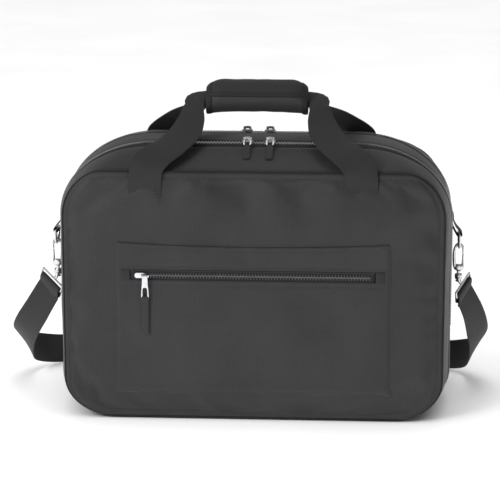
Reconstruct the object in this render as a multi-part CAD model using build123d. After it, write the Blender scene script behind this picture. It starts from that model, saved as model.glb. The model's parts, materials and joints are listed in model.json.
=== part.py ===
"""Flight bag: a padded cabin bag with two zipped compartments, a zipped front pocket,
two webbing handles held by a wrap grip, and a clip-on shoulder strap.

Frame: origin on the floor under the middle of the bag, +Z up, -Y the front, +X right.
Units are millimetres. Each sub-part goes to parts/NODE.step.
"""
from build123d import *
import os
from math import atan2, cos, degrees, radians, sin

# ---- driving dimensions ----------------------------------------------------
HALF_WIDTH = 243.0          # bag, at the zips
TOP_Z = 338.0               # zip lines
TOP_CORNER = (119.0, 92.0)       # elliptical corners at the zips: along X and Z
SEAM_TOP_CORNER = (53.0, 58.0)   # and where the panels meet the gussets
LOW_CORNER = (66.0, 52.0)
SEAM_LOW_CORNER = (62.0, 49.0)
ZIP_Y = 38.0                # front zip at -ZIP_Y, rear zip at +ZIP_Y
PANEL_Y = 98.0              # where the gussets meet the front and rear panels
SEAM_INSET = 10.0           # the panels are this much narrower on each side
SEAM_DROP = 25.0            # and this much lower at the top
SEAM_RAISE = 3.0            # and this much higher at the bottom
WALL = 5.0                  # padded gusset
PANEL_SKIN = 2.0            # outer fabric of a panel
FOAM = 3.6
LINING = 0.8
FIT = 0.2                   # between pieces of one body
RUN = 0.35                  # between pieces of two bodies

FOLD_Z = 105.0              # the zips end here, and the front cover folds here
FOLD_Y = -110.0             # hinge line of the cover, in the pocket's face

TAPE_WIDTH = 5.8            # one zip tape
TEETH_WIDTH = 2.0           # one row of teeth
TAPE_SKIN = 1.5
TEETH_PROUD = 1.0

POCKET_HALF = 170.0
POCKET_LOW = 36.0
POCKET_HIGH = 228.0
POCKET_SKIN = 2.5
POCKET_ZIP_Z = 186.0
POCKET_ZIP_HALF = 150.0
POCKET_ZIP_SLOT = 14.0

WEB = 40.0                  # handle webbing
WEB_THICK = 2.0
FOLDED_WEB = 24.0           # where it is folded inside the grip
FOLDED_THICK = 3.0
LEG_X = 131.0
LEG_LOW = 229.0
LEG_FOLD = 290.0

GRIP_Z = 389.0
GRIP_HALF = 63.0
GRIP_OUTER = 22.0
GRIP_INNER = 17.0
PAD_FRONT = 79.0            # angles round the grip, from the top towards the front
PAD_REAR = 300.0
FLAP_REAR = -59.0
FLAP_FRONT = 62.0
REAR_RUN_Z = 379.5

PIN_RISE = 4.6              # slider pin above the slider's base
PIN_R = 0.9
PULL_WIDE = 8.0
PULL_THICK = 1.6
TOP_PULL = 18.0
TOP_TAB = 24.0
POCKET_PULL = 28.0
POCKET_TAB = 44.0
TAB_WIDE = 9.0
TAB_THICK = 2.0
TAB_PLAY = 0.6              # between a puller's end and a tab that swings on it
TOP_SINK = 5.0              # degrees a lying puller dips to reach the cloth
POCKET_SINK = 1.2

RING_X = 254.0              # plane of the side D-rings
RING_Z = 218.0              # their straight bar
RING_WIRE = 1.75
RING_HALF = 15.0
RING_DROP = 18.0
TAB_HALF = 12.5
HOOK_HALF = 5.2
HOOK_TOP_Z = 199.0
HOOK_BASE_Z = 177.0
HOOK_TIP_Z = 192.0
GATE_WIRE = 1.3
POST_R = 2.4
POST_BORE = 2.5
BAIL_Z = 157.0
BAIL_TILT = 35.0
FOLD_OFF = 3.6              # the strap passes this far before and behind the ring's bar

STRAP = 38.0
STRAP_THICK = 2.0
STRAP_RUN_Y = 146.0
STRAP_LIFT = 0.3            # the strap's lower edge clears the floor by this
# the strap from its bail to the run behind the bag: (outwards, back, up) of its centre,
# and the way its width points
LEFT_STRAP = [
    ((262, 0, 151), (0.66, 0.60, 0.45)),
    ((268.5, 7, 134.5), (0.68, 0.50, 0.53)),
    ((286, 19, 105), (0.81, 0.49, 0.30)),
    ((301, 35, 80), (0.82, 0.42, 0.38)),
    ((309, 56, 60), (0.72, 0.27, 0.63)),
    ((309, 84, 42), (0.50, 0.05, 0.86)),
    ((298, 110, 30), (0.28, 0.0, 0.96)),
    ((280, 132, 22), (0.1, 0.0, 0.99)),
    ((254, 144, 19.3), (0, 0, 1)),
    ((220, 146, 19.3), (0, 0, 1)),
]
RIGHT_STRAP = [
    ((260, 0, 151), (0.43, 0.77, 0.46)),
    ((263, 8, 136), (0.48, 0.79, 0.37)),
    ((273, 20, 113), (0.58, 0.79, 0.20)),
    ((280, 37, 89), (0.64, 0.74, 0.20)),
    ((284, 58, 66), (0.62, 0.60, 0.50)),
    ((281, 85, 44), (0.47, 0.35, 0.81)),
    ((270, 112, 30), (0.25, 0.12, 0.96)),
    ((252, 133, 21.5), (0.1, 0.0, 0.99)),
    ((228, 144, 19.3), (0, 0, 1)),
    ((200, 146, 19.3), (0, 0, 1)),
]
END_STATIONS = 2            # bend points that belong to the strap's sewn end


def write(shape, node):
    """Write one sub-part to its own file."""
    export_step(shape, "parts/" + node + ".step")


# ---- the shell ---------------------------------------------------------------
def corner_size(at_zip, at_seam, taper, inset):
    """A corner's two radii, part of the way from the zips to a panel."""
    return [a + (b - a) * taper - inset for a, b in zip(at_zip, at_seam)]


def outline(y, inset=0.0):
    """The bag's rounded outline in the plane at y, moved inwards by inset."""
    taper = max(0.0, (abs(y) - ZIP_Y) / (PANEL_Y - ZIP_Y))
    taper = min(taper, 1.0)
    half = HALF_WIDTH - SEAM_INSET * taper - inset
    top = TOP_Z - SEAM_DROP * taper - inset
    bottom = SEAM_RAISE * taper + inset
    across, tall = corner_size(TOP_CORNER, SEAM_TOP_CORNER, taper, inset)
    low_across, low_tall = corner_size(LOW_CORNER, SEAM_LOW_CORNER, taper, inset)
    x, z = half - across, top - tall
    low_x, low_z = half - low_across, bottom + low_tall
    edges = [
        Line((-low_x, bottom), (low_x, bottom)),
        EllipticalCenterArc((low_x, low_z), low_across, low_tall, 270),
        Line((half, low_z), (half, z)),
        EllipticalCenterArc((x, z), across, tall, 0),
        Line((x, top), (-x, top)),
        EllipticalCenterArc((-x, z), across, tall, 90),
        Line((-half, z), (-half, low_z)),
        EllipticalCenterArc((-low_x, low_z), low_across, low_tall, 180),
    ]
    return Plane.XZ.offset(-y) * make_face(Wire([e.edge() for e in edges]))


def band(y_front, y_rear, outer=0.0, inner=WALL):
    """A ring of the shell between two planes."""
    outside = loft([outline(y_front, outer), outline(y_rear, outer)], ruled=True)
    inside = loft([outline(y_front, inner), outline(y_rear, inner)], ruled=True)
    return outside - inside


def plate(y_front, y_rear, inset=0.0):
    """A flat panel with the seam's outline."""
    seam_y = PANEL_Y if y_rear > 0 else -PANEL_Y
    face = Pos(0, y_rear - seam_y, 0) * outline(seam_y, inset)
    return extrude(face, amount=y_rear - y_front, dir=(0, -1, 0))


def above(shape, z, gap=FIT):
    """The part of a shape above z."""
    return shape & Pos(0, 0, z + gap + 400) * Box(900, 900, 800)


def below(shape, z, gap=FIT):
    """The part of a shape below z."""
    return shape & Pos(0, 0, z - gap - 400) * Box(900, 900, 800)


def shell_parts():
    """Gussets, panels, their foam and lining, the divider and the base board."""
    tape_edge = ZIP_Y + TEETH_WIDTH + FIT + TAPE_WIDTH
    mid_edge = ZIP_Y - TEETH_WIDTH - FIT - TAPE_WIDTH
    front_band = band(-PANEL_Y, -tape_edge)
    write(above(front_band, FOLD_Z), "front_gusset")
    write(below(band(-PANEL_Y, -ZIP_Y) + band(-ZIP_Y, -mid_edge), FOLD_Z), "front_gusset_base")
    write(band(-mid_edge, mid_edge), "mid_gusset")
    rear_low = below(band(mid_edge, ZIP_Y) + band(ZIP_Y, tape_edge), FOLD_Z)
    write(band(tape_edge, PANEL_Y) + rear_low, "rear_gusset")

    front_skin = plate(-PANEL_Y - PANEL_SKIN, -PANEL_Y)
    front_pad = plate(-PANEL_Y + FIT, -PANEL_Y + FIT + FOAM, WALL + 1)
    front_liner = plate(-PANEL_Y + FOAM + 2 * FIT, -PANEL_Y + FOAM + 2 * FIT + LINING, WALL + 1)
    write(above(front_skin, FOLD_Z), "front_panel")
    write(above(front_pad, FOLD_Z), "front_foam")
    write(above(front_liner, FOLD_Z), "front_lining")
    low_pad = plate(-PANEL_Y, -PANEL_Y + FOAM, WALL + 0.5)
    write(below(front_skin + low_pad, FOLD_Z), "front_panel_base")
    write(plate(PANEL_Y, PANEL_Y + PANEL_SKIN), "rear_panel")
    write(plate(PANEL_Y - FIT - FOAM, PANEL_Y - FIT, WALL + 1), "rear_foam")
    write(plate(PANEL_Y - FOAM - 2 * FIT - LINING, PANEL_Y - FOAM - 2 * FIT, WALL + 1), "rear_lining")

    board = Pos(0, 0, WALL + FIT + 2 + SEAM_RAISE) * Box(350, 180, 4)
    write(board, "base_board")
    screen = loft([outline(-2.5, WALL + FIT), outline(2.5, WALL + FIT)], ruled=True)
    write(above(screen, WALL + SEAM_RAISE + 4, 2 * FIT), "divider")


# ---- the zips ------------------------------------------------------------------
def zip_band(edge_a, edge_b, teeth):
    """One tape or one row of teeth, over the sides and top down to the fold."""
    if teeth:
        ring = band(min(edge_a, edge_b), max(edge_a, edge_b), -TEETH_PROUD, 0.5 + TAPE_SKIN)
    else:
        ring = band(min(edge_a, edge_b), max(edge_a, edge_b), 0.5, 0.5 + TAPE_SKIN)
    return above(ring, FOLD_Z, 0.5)


def zip_parts():
    """The two compartment zips and the pocket zip."""
    teeth = TEETH_WIDTH + FIT
    tape = teeth + TAPE_WIDTH
    write(zip_band(-ZIP_Y - tape, -ZIP_Y - teeth, False), "zip1_front_tape")
    write(zip_band(-ZIP_Y - teeth, -ZIP_Y - FIT, True), "zip1_front_teeth")
    write(zip_band(-ZIP_Y + teeth, -ZIP_Y + tape, False), "zip1_rear_tape")
    write(zip_band(-ZIP_Y + FIT, -ZIP_Y + teeth, True), "zip1_rear_teeth")
    front_tape = zip_band(ZIP_Y - tape, ZIP_Y - teeth, False)
    rear_tape = zip_band(ZIP_Y + teeth, ZIP_Y + tape, False)
    write(Compound(children=[front_tape.solid(), rear_tape.solid()]), "zip2_tapes")
    front_row = zip_band(ZIP_Y - teeth, ZIP_Y - FIT, True)
    rear_row = zip_band(ZIP_Y + FIT, ZIP_Y + teeth, True)
    write(Compound(children=[front_row.solid(), rear_row.solid()]), "zip2_teeth")

    face = FOLD_Y + POCKET_SKIN / 2
    length = 2 * POCKET_ZIP_HALF - 2 * FIT
    tape_box = Pos(0, face + 0.4, POCKET_ZIP_Z) * Box(length, 1.4, POCKET_ZIP_SLOT - 2 * FIT)
    write(tape_box, "pocket_zip_tape")
    row = Pos(0, FOLD_Y + 0.2, POCKET_ZIP_Z) * Box(length - 12, 1.4, 5.0)
    write(row, "pocket_zip_teeth")
    stops = Compound(children=[
        Pos(side * (POCKET_ZIP_HALF + 5), FOLD_Y - 0.7, POCKET_ZIP_Z) * Box(10, 1.0, 14)
        for side in (-1, 1)
    ])
    write(stops, "pocket_zip_stops")


# ---- the front pocket ------------------------------------------------------------
def pocket_parts():
    """A flat patch pocket, in two halves that meet at the fold."""
    depth = -PANEL_Y - PANEL_SKIN - FIT - FOLD_Y
    height = POCKET_HIGH - POCKET_LOW
    mid_z = (POCKET_HIGH + POCKET_LOW) / 2
    body = Pos(0, FOLD_Y + depth / 2, mid_z) * Box(2 * POCKET_HALF, depth, height)
    body = fillet(body.edges().filter_by(Axis.Y), 6)
    rim = 6.0
    hollow = Box(2 * (POCKET_HALF - rim), depth, height - 2 * rim)
    body -= Pos(0, FOLD_Y + depth / 2 + POCKET_SKIN, mid_z) * hollow
    body -= Pos(0, FOLD_Y, POCKET_ZIP_Z) * Box(2 * POCKET_ZIP_HALF, 8, POCKET_ZIP_SLOT)
    write(above(body, FOLD_Z), "pocket")
    write(below(body, FOLD_Z), "pocket_base")


# ---- webbing ribbons -----------------------------------------------------------
def ribbon(stations):
    """A flat strip through (centre, width vector, width, thickness) stations."""
    sections = []
    last = len(stations) - 1
    for i, (centre, across, width, thick) in enumerate(stations):
        ahead = stations[min(i + 1, last)][0] - stations[max(i - 1, 0)][0]
        across = (across - ahead * (across.dot(ahead) / ahead.dot(ahead))).normalized()
        normal = ahead.cross(across).normalized()
        w = across * (width / 2)
        n = normal * (thick / 2)
        corners = [centre + w + n, centre - w + n, centre - w - n, centre + w - n]
        sections.append(Wire.make_polygon(corners, close=True))
    return Solid.make_loft(sections, ruled=True)


# between the sewn legs and the grip: centre, outward normal, width, thickness
FRONT_ROUTE = [
    ((LEG_X, 101.9, 311), (0, 1, 0.1), WEB, WEB_THICK),
    ((127, 99, 322), (0, 0.88, 0.47), WEB, WEB_THICK),
    ((116, 90, 331), (0, 0.66, 0.75), WEB, WEB_THICK),
    ((101, 73, 339), (0, 0.5, 0.86), WEB, WEB_THICK),
    ((87, 49, 351), (0, 0.5, 0.86), WEB, WEB_THICK),
    ((81, 30, 364), (0, 0.5, 0.86), 34.0, WEB_THICK),
    ((78.5, 15, 380), (0, 0.4, 0.91), 24.0, FOLDED_THICK),
]
REAR_ROUTE = [
    ((LEG_X, 102.0, 313), (0, 1, 0.15), WEB, WEB_THICK),
    ((128, 95, 326), (0, 0.75, 0.65), WEB, WEB_THICK),
    ((120, 81, 337.5), (0, 0.55, 0.83), WEB, WEB_THICK),
    ((107, 61, 349.5), (0, 0.5, 0.86), WEB, WEB_THICK),
    ((91, 37, 363), (0, 0.5, 0.86), 36.0, WEB_THICK),
    ((77, 13, 374), (0, 0.35, 0.93), 24.0, FOLDED_THICK),
]


def handle(front):
    """One handle loop: two sewn legs and the folded run inside the grip."""
    out = -1.0 if front else 1.0
    face = PANEL_Y + PANEL_SKIN + FIT + WEB_THICK / 2
    run_z = GRIP_Z if front else REAR_RUN_Z
    lean = atan2(-FOLD_Y, GRIP_Z - FOLD_Z) if front else 0.0
    legs = [
        ((LEG_X, face, LEG_LOW), (0, 1, 0), WEB, WEB_THICK),
        ((LEG_X, face, LEG_FOLD), (0, 1, 0), WEB, WEB_THICK),
    ]
    legs += FRONT_ROUTE if front else REAR_ROUTE
    legs.append(((GRIP_HALF + 3, 0, run_z), (0, out * -sin(lean), cos(lean)), FOLDED_WEB, FOLDED_THICK))
    last = len(legs) - 1
    stations = []
    for side in (1, -1):
        centres = [Vector(side * x, out * y, z) for (x, y, z), _, _, _ in legs]
        half = []
        for i, (_, normal, width, thick) in enumerate(legs):
            ahead = centres[min(i + 1, last)] - centres[max(i - 1, 0)]
            if i == last:
                ahead = Vector(-side, 0, 0)
            across = ahead.cross(Vector(normal[0], out * normal[1], normal[2]))
            half.append((centres[i], across.normalized(), width, thick))
        stations += half if side == 1 else half[::-1]
    turned = [stations[0]]
    for centre, across, width, thick in stations[1:]:
        if across.dot(turned[-1][1]) < 0:
            across = across * -1
        turned.append((centre, across, width, thick))
    return ribbon(turned)


# ---- the grip --------------------------------------------------------------------
def grip_point(radius, angle):
    """A point round the grip, angle in degrees from the top towards the front."""
    a = radians(angle)
    return (0, -radius * sin(a), GRIP_Z + radius * cos(a))


def grip_sector(r_in, r_out, start, end, half):
    """A curved strip round the grip, along X."""
    mid = (start + end) / 2
    edges = [
        ThreePointArc(grip_point(r_out, start), grip_point(r_out, mid), grip_point(r_out, end)),
        Line(grip_point(r_out, end), grip_point(r_in, end)),
        ThreePointArc(grip_point(r_in, end), grip_point(r_in, mid), grip_point(r_in, start)),
        Line(grip_point(r_in, start), grip_point(r_out, start)),
    ]
    face = make_face(Wire([e.edge() for e in edges]))
    return extrude(Pos(-half, 0, 0) * face, amount=2 * half, dir=(1, 0, 0))


def grip_parts():
    """Padded wrap, its closing flap, and the two closure tapes inside."""
    write(grip_sector(GRIP_INNER, GRIP_OUTER, PAD_FRONT, PAD_REAR, GRIP_HALF), "grip_pad")
    write(grip_sector(GRIP_INNER, GRIP_OUTER, FLAP_REAR, FLAP_FRONT, GRIP_HALF), "grip_flap")
    tape_out = GRIP_INNER - FIT
    tape_in = tape_out - 1.0
    write(grip_sector(tape_in, tape_out, 35, FLAP_FRONT - 2, GRIP_HALF - 4), "grip_hook_tape")
    write(grip_sector(tape_in, tape_out, PAD_FRONT + 2, 104, GRIP_HALF - 4), "grip_loop_tape")


# ---- zip sliders and pullers --------------------------------------------------------
def rod(radius, start, end):
    """A round bar between two points."""
    a = Vector(start)
    b = Vector(end)
    bar = Cylinder(radius, (b - a).length, align=(Align.CENTER, Align.CENTER, Align.MIN))
    return Plane(origin=a, z_dir=b - a) * bar


def slider(lug_x=0.0):
    """Slider in its own frame: +Z out of the cloth, X along the zip, base at z = 0."""
    body = Pos(0, 0, 0.7) * Box(14, 7, 1.4)
    body = fillet(body.edges().filter_by(Axis.Z), 3)
    body = chamfer(body.faces().sort_by(Axis.Z)[-1].edges(), 0.4)
    for side in (-1, 1):
        body += Pos(lug_x + side * 4.2, 0, PIN_RISE / 2 + 0.9) * Box(1.4, 2.6, PIN_RISE - 0.2)
    return body + rod(PIN_R, (lug_x - 4.2, 0, PIN_RISE), (lug_x + 4.2, 0, PIN_RISE))


def puller(length, sink, lug_x=0.0):
    """Metal puller lying towards -Y from the slider's pin, at its pin's height."""
    head = rod(1.6, (-3.1, 0, 0), (3.1, 0, 0))
    blade = Pos(0, -length / 2 - 0.5, 0) * Box(PULL_WIDE, length - 1, PULL_THICK)
    blade = fillet(blade.edges().filter_by(Axis.Z), 2)
    blade -= Pos(0, -length + 5, 0) * Box(4.4, 4.0, 4)
    body = head + blade - rod(PIN_R + 0.1, (-9, 0, 0), (9, 0, 0))
    return Pos(lug_x, 0, PIN_RISE) * Rot(sink, 0, 0) * body


def pull_tab(start, length, sink, lug_x=0.0):
    """Fabric tab beyond the puller's end."""
    tab = Pos(0, -start - length / 2, 0) * Box(TAB_WIDE, length, TAB_THICK)
    tab = fillet(tab.edges().filter_by(Axis.Z), 1.5)
    return Pos(lug_x, 0, PIN_RISE) * Rot(sink, 0, 0) * tab


GUSSET_SLOPE = degrees(atan2(SEAM_DROP, PANEL_Y - ZIP_Y))
SLIDER_BASE_Z = TOP_Z + TEETH_PROUD + RUN
POCKET_SLIDER_X = -137.0
POCKET_LUG_X = 6.0
TOP_SLIDERS = {              # x, y, and the turn that points the puller down its gusset
    "zip1_left": (-10.0, -ZIP_Y, 0),
    "zip1_right": (18.0, -ZIP_Y, 0),
    "zip2_left": (-14.5, ZIP_Y, 180),
    "zip2_right": (14.5, ZIP_Y, 180),
}


def slider_parts():
    """Five sliders, each with its puller and fabric tab."""
    lean = Pos(0, 0, PIN_RISE) * Rot(GUSSET_SLOPE, 0, 0) * Pos(0, 0, -PIN_RISE)
    for name, (x, y, turn) in TOP_SLIDERS.items():
        seat = Pos(x, y, SLIDER_BASE_Z) * Rot(0, 0, turn)
        write(seat * slider(), name + "_slider")
        write(seat * lean * puller(TOP_PULL, TOP_SINK), name + "_puller")
        write(seat * lean * pull_tab(TOP_PULL + FIT, TOP_TAB, TOP_SINK), name + "_tab")
    seat = Pos(POCKET_SLIDER_X, FOLD_Y - 0.5 - RUN, POCKET_ZIP_Z) * Rot(90, 0, 0)
    write(seat * slider(POCKET_LUG_X), "pocket_slider")
    write(seat * puller(POCKET_PULL, POCKET_SINK, POCKET_LUG_X), "pocket_puller")
    tab_start = POCKET_PULL + TAB_PLAY
    write(seat * pull_tab(tab_start, POCKET_TAB, POCKET_SINK, POCKET_LUG_X), "pocket_tab")


# ---- side hardware ---------------------------------------------------------------
def half_ring(radius, wire, centre, plane):
    """Half a torus, below the centre in plane YZ or above it in plane XZ."""
    ring = Torus(radius, wire)
    if plane == "YZ":
        ring = Rot(0, 90, 0) * ring
        keep = Pos(0, 0, -50) * Box(100, 100, 100)
    else:
        ring = Rot(90, 0, 0) * ring
        keep = Pos(0, 0, 50) * Box(100, 100, 100)
    return Pos(*centre) * (ring & keep)


def d_ring(side):
    """D-ring hanging from the side tab."""
    x = side * RING_X
    straight = RING_DROP - RING_HALF
    ring = rod(RING_WIRE, (x, -RING_HALF, RING_Z), (x, RING_HALF, RING_Z))
    for y in (-RING_HALF, RING_HALF):
        ring += rod(RING_WIRE, (x, y, RING_Z), (x, y, RING_Z - straight))
        ring += Pos(x, y, RING_Z) * Sphere(RING_WIRE)
    return ring + half_ring(RING_HALF, RING_WIRE, (x, 0, RING_Z - straight), "YZ")


def side_tab(side):
    """Webbing tab sewn to the gusset and folded round the D-ring's bar."""
    loop_out = RING_WIRE + 0.1 + 1.7
    sewn_x = HALF_WIDTH + FIT + 1.5
    tab = Pos(side * sewn_x, 0, RING_Z + 14) * Box(3, 2 * TAB_HALF, 20)
    neck_width = RING_X + loop_out - HALF_WIDTH - FIT
    neck_x = HALF_WIDTH + FIT + neck_width / 2
    tab += Pos(side * neck_x, 0, RING_Z + 4) * Box(neck_width, 2 * TAB_HALF, 8)
    tab += rod(loop_out, (side * RING_X, -TAB_HALF, RING_Z), (side * RING_X, TAB_HALF, RING_Z))
    return tab - rod(RING_WIRE + 0.1, (side * RING_X, -30, RING_Z), (side * RING_X, 30, RING_Z))


def hook(side):
    """Swivel hook's claw, its base and the post that turns in the bail."""
    x = side * RING_X
    back = x - side * HOOK_HALF
    tip = x + side * HOOK_HALF
    claw = half_ring(HOOK_HALF, RING_WIRE, (x, 0, HOOK_TOP_Z), "XZ")
    claw += rod(RING_WIRE, (back, 0, HOOK_BASE_Z), (back, 0, HOOK_TOP_Z))
    claw += rod(RING_WIRE, (tip, 0, HOOK_TIP_Z), (tip, 0, HOOK_TOP_Z))
    base = Pos(x, 0, HOOK_BASE_Z - 2.5) * Box(14, 5, 5)
    claw += fillet(base.edges().filter_by(Axis.Y), 2)
    claw += rod(POST_R, (x, 0, HOOK_BASE_Z - 4), (x, 0, BAIL_Z - 1.5))
    return claw + rod(3.8, (x, 0, BAIL_Z - 1.5), (x, 0, BAIL_Z + 0.7))


def gate(side):
    """Sprung gate that closes the hook's mouth."""
    tip = side * (RING_X + HOOK_HALF)
    foot = HOOK_BASE_Z + RUN + 0.5
    bar = rod(GATE_WIRE, (tip, 0, foot), (tip, 0, HOOK_TIP_Z - RUN))
    return bar + Pos(tip, 0, foot + 1.5) * Box(3.2, 4.4, 3.0)


def slanted(side, shape):
    """Turn a shape about the bail's centre so that it faces the strap's pull."""
    centre = Pos(side * RING_X, 0, BAIL_Z)
    return centre * Rot(0, side * -BAIL_TILT, 0) * shape


def bail(side):
    """Collar and rectangular ring that hold the strap."""
    collar = Cylinder(4.6, 8.5, align=(Align.CENTER, Align.CENTER, Align.MIN))
    frame = Box(STRAP + 6, 4, 11) - Box(STRAP + 1.0, 10, 5)
    frame = fillet(frame.edges().filter_by(Axis.Y), 1.2)
    centre, across, up = bail_axes(strap_stations(side))
    body = Plane(origin=centre, x_dir=across, z_dir=up) * frame
    body += Pos(side * RING_X, 0, BAIL_Z + 1.2) * collar
    body += slanted(side, Pos(side * 2, 0, 0.4) * Box(15, 9.2, 9))
    x = side * RING_X
    body -= rod(POST_BORE, (x, 0, BAIL_Z - 4), (x, 0, BAIL_Z + 20))
    body -= rod(3.8 + RUN, (x, 0, BAIL_Z - 6), (x, 0, BAIL_Z + 0.7 + RUN))
    return body


# ---- the shoulder strap ------------------------------------------------------------
def strap_stations(side):
    """Centres and width directions of the strap from the bail to the run behind the bag."""
    return [
        (Vector(side * x, y, z), Vector(side * a, b, c).normalized(), STRAP, STRAP_THICK)
        for (x, y, z), (a, b, c) in (LEFT_STRAP if side < 0 else RIGHT_STRAP)
    ]


def bail_axes(stations):
    """The bail's centre, its width direction, and its direction away from the strap."""
    centre, across = stations[0][:2]
    along = centre - stations[1][0]
    return centre, across, (along - across * along.dot(across)).normalized()


def strap_parts():
    """The sewn strap ends in the bails, and the run that lies behind the bag."""
    left = strap_stations(-1)
    right = strap_stations(1)
    for side, name, stations in ((-1, "left", left), (1, "right", right)):
        slot, across, up = bail_axes(stations)
        inwards = up.cross(across) * side
        wrap = [(-FOLD_OFF, -15.0), (-FOLD_OFF, -1.2), (0.0, 1.2), (FOLD_OFF, -1.2), (FOLD_OFF, -7.4)]
        turns = [
            (slot + up * lift + inwards * off, across, STRAP, STRAP_THICK)
            for off, lift in wrap
        ]
        write(ribbon(turns + stations[1:END_STATIONS]), "strap_end_" + name)
    gap = 2.6
    joined = []
    for stations in (left, right):
        rest = stations[END_STATIONS - 1:]
        step = (rest[1][0] - rest[0][0]).normalized() * gap
        joined.append([(rest[0][0] + step, *rest[0][1:])] + rest[1:])
    path = joined[0] + joined[1][::-1]
    write(ribbon(path), "shoulder_strap")
    z = STRAP / 2 + STRAP_LIFT
    outer = Box(30, 5, STRAP + 8)
    slide = outer
    for x in (-6.5, 6.5):
        slide -= Pos(x, 0, 0) * Box(9, 12, STRAP + 1.4)
    slide = fillet(slide.edges().filter_by(Axis.Y), 1.0)
    write(Pos(60, STRAP_RUN_Y + 4.2, z + 4.5) * slide, "strap_adjuster")


def side_parts():
    """Tab, D-ring, hook, gate and bail on both sides."""
    for side, name in ((-1, "left"), (1, "right")):
        write(side_tab(side), "side_tab_" + name)
        write(d_ring(side), "d_ring_" + name)
        write(hook(side), "hook_" + name)
        write(gate(side), "hook_gate_" + name)
        write(bail(side), "bail_" + name)


os.makedirs("parts", exist_ok=True)
shell_parts()
zip_parts()
pocket_parts()
write(handle(True), "front_handle")
write(handle(False), "rear_handle")
grip_parts()
slider_parts()
side_parts()
strap_parts()
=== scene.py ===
"""The looks of the flight bag: cloth, webbing, zips, metalwork, light and camera.

Everything is in metres in the CAD frame: -Y the front, +X right, +Z up.
"""
import json
from contextlib import contextmanager
from math import atan2, ceil, cos, degrees, pi, radians, sin, sqrt

import bmesh
import bpy
from mathutils import Matrix, Vector, noise


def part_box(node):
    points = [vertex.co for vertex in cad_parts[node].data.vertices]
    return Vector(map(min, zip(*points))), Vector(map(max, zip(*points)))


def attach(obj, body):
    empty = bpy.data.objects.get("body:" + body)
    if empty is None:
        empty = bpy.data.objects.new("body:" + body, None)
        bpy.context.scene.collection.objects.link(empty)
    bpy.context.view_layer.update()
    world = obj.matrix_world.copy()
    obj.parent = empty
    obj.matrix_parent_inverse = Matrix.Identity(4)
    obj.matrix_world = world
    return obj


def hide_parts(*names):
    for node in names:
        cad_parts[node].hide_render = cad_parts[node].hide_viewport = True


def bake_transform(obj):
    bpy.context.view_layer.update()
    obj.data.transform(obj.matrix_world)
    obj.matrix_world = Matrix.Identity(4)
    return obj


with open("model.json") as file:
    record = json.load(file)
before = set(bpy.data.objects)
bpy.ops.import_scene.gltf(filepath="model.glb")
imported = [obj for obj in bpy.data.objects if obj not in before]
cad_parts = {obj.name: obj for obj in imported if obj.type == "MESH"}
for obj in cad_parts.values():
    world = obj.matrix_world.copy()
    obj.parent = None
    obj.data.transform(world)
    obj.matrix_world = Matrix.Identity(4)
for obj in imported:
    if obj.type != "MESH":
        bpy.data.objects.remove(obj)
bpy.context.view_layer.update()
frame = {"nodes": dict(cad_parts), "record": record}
MM = 0.001

# ---- sizes read from the frame -------------------------------------------------
MID_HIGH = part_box("mid_gusset")[1]
PANEL_LOW, PANEL_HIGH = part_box("front_panel")
POCKET_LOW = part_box("pocket_base")[0]
POCKET_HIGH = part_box("pocket")[1]
GRIP_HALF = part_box("grip_pad")[1].x
TEETH_LOW, TEETH_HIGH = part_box("pocket_zip_teeth")
TAPE_EDGE = -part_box("zip1_front_tape")[0].y

HALF_WIDTH = MID_HIGH.x
TOP_Z = MID_HIGH.z
MID_EDGE = MID_HIGH.y
ZIP_Y = MID_EDGE + 8 * MM
PANEL_Y = -PANEL_HIGH.y
FOLD_Z = PANEL_LOW.z
FOLD_Y = -0.110
SEAM_INSET = 10 * MM
SEAM_DROP = 25 * MM
SEAM_RAISE = 3 * MM
# the padding of the panels
PANEL_CROWN = 5.0 * MM
PANEL_CLOTH = 2.4 * MM
PANEL_GAP = 0.2 * MM
CROWN_REACH = 75 * MM
SEAM_SWELL = 2.0 * MM
# elliptical corners, along X and Z: at the zips, and where the panels are sewn in
TOP_CORNER = (119 * MM, 92 * MM)
SEAM_TOP_CORNER = (53 * MM, 58 * MM)
LOW_CORNER = (66 * MM, 52 * MM)
SEAM_LOW_CORNER = (62 * MM, 49 * MM)
GRIP_Z = 389 * MM
GRIP_R = 22 * MM


# ---- mesh helpers ---------------------------------------------------------------
def finish_piece(obj, body, replaces=()):
    """Put a piece on its body, or leave it unattached when body is None."""
    if replaces:
        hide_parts(*replaces)
    if body:
        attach(obj, body)
    return obj


def place_mesh(name, data, material=None, smooth=True):
    """Put a mesh in the scene as an object."""
    if smooth:
        data.polygons.foreach_set("use_smooth", [True] * len(data.polygons))
    if material:
        data.materials.append(material)
    obj = bpy.data.objects.new(name, data)
    bpy.context.scene.collection.objects.link(obj)
    return obj


@contextmanager
def editing(obj):
    """The object's mesh, open for bmesh work."""
    built = bmesh.new()
    built.from_mesh(obj.data)
    yield built
    built.to_mesh(obj.data)
    built.free()


def fold_blend(obj):
    """Bake the cloth's transform into its mesh."""
    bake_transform(obj)


def make(name, verts, faces, material, uvs=None, smooth=True):
    """A mesh object. uvs holds one pair per vertex."""
    data = bpy.data.meshes.new(name)
    data.from_pydata([tuple(v) for v in verts], [], faces)
    data.validate()
    if uvs is not None:
        layer = data.uv_layers.new(name="cloth")
        for loop in data.loops:
            layer.data[loop.index].uv = uvs[loop.vertex_index]
    return place_mesh(name, data, material, smooth)


def grid(rows, wrap=False):
    """Faces for rows of points of equal length."""
    high, wide = len(rows), len(rows[0])
    faces = []
    for i in range(high - 1):
        for j in range(wide if wrap else wide - 1):
            a = i * wide + j
            b = i * wide + (j + 1) % wide
            faces.append((a, b, b + wide, a + wide))
    return [p for row in rows for p in row], faces


def woven_sheet(name, rows, uvs, material, flip=False):
    """An open surface through rows of points."""
    verts, faces = grid(rows)
    return make(name, verts, [f[::-1] for f in faces] if flip else faces, material, uvs)


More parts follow.
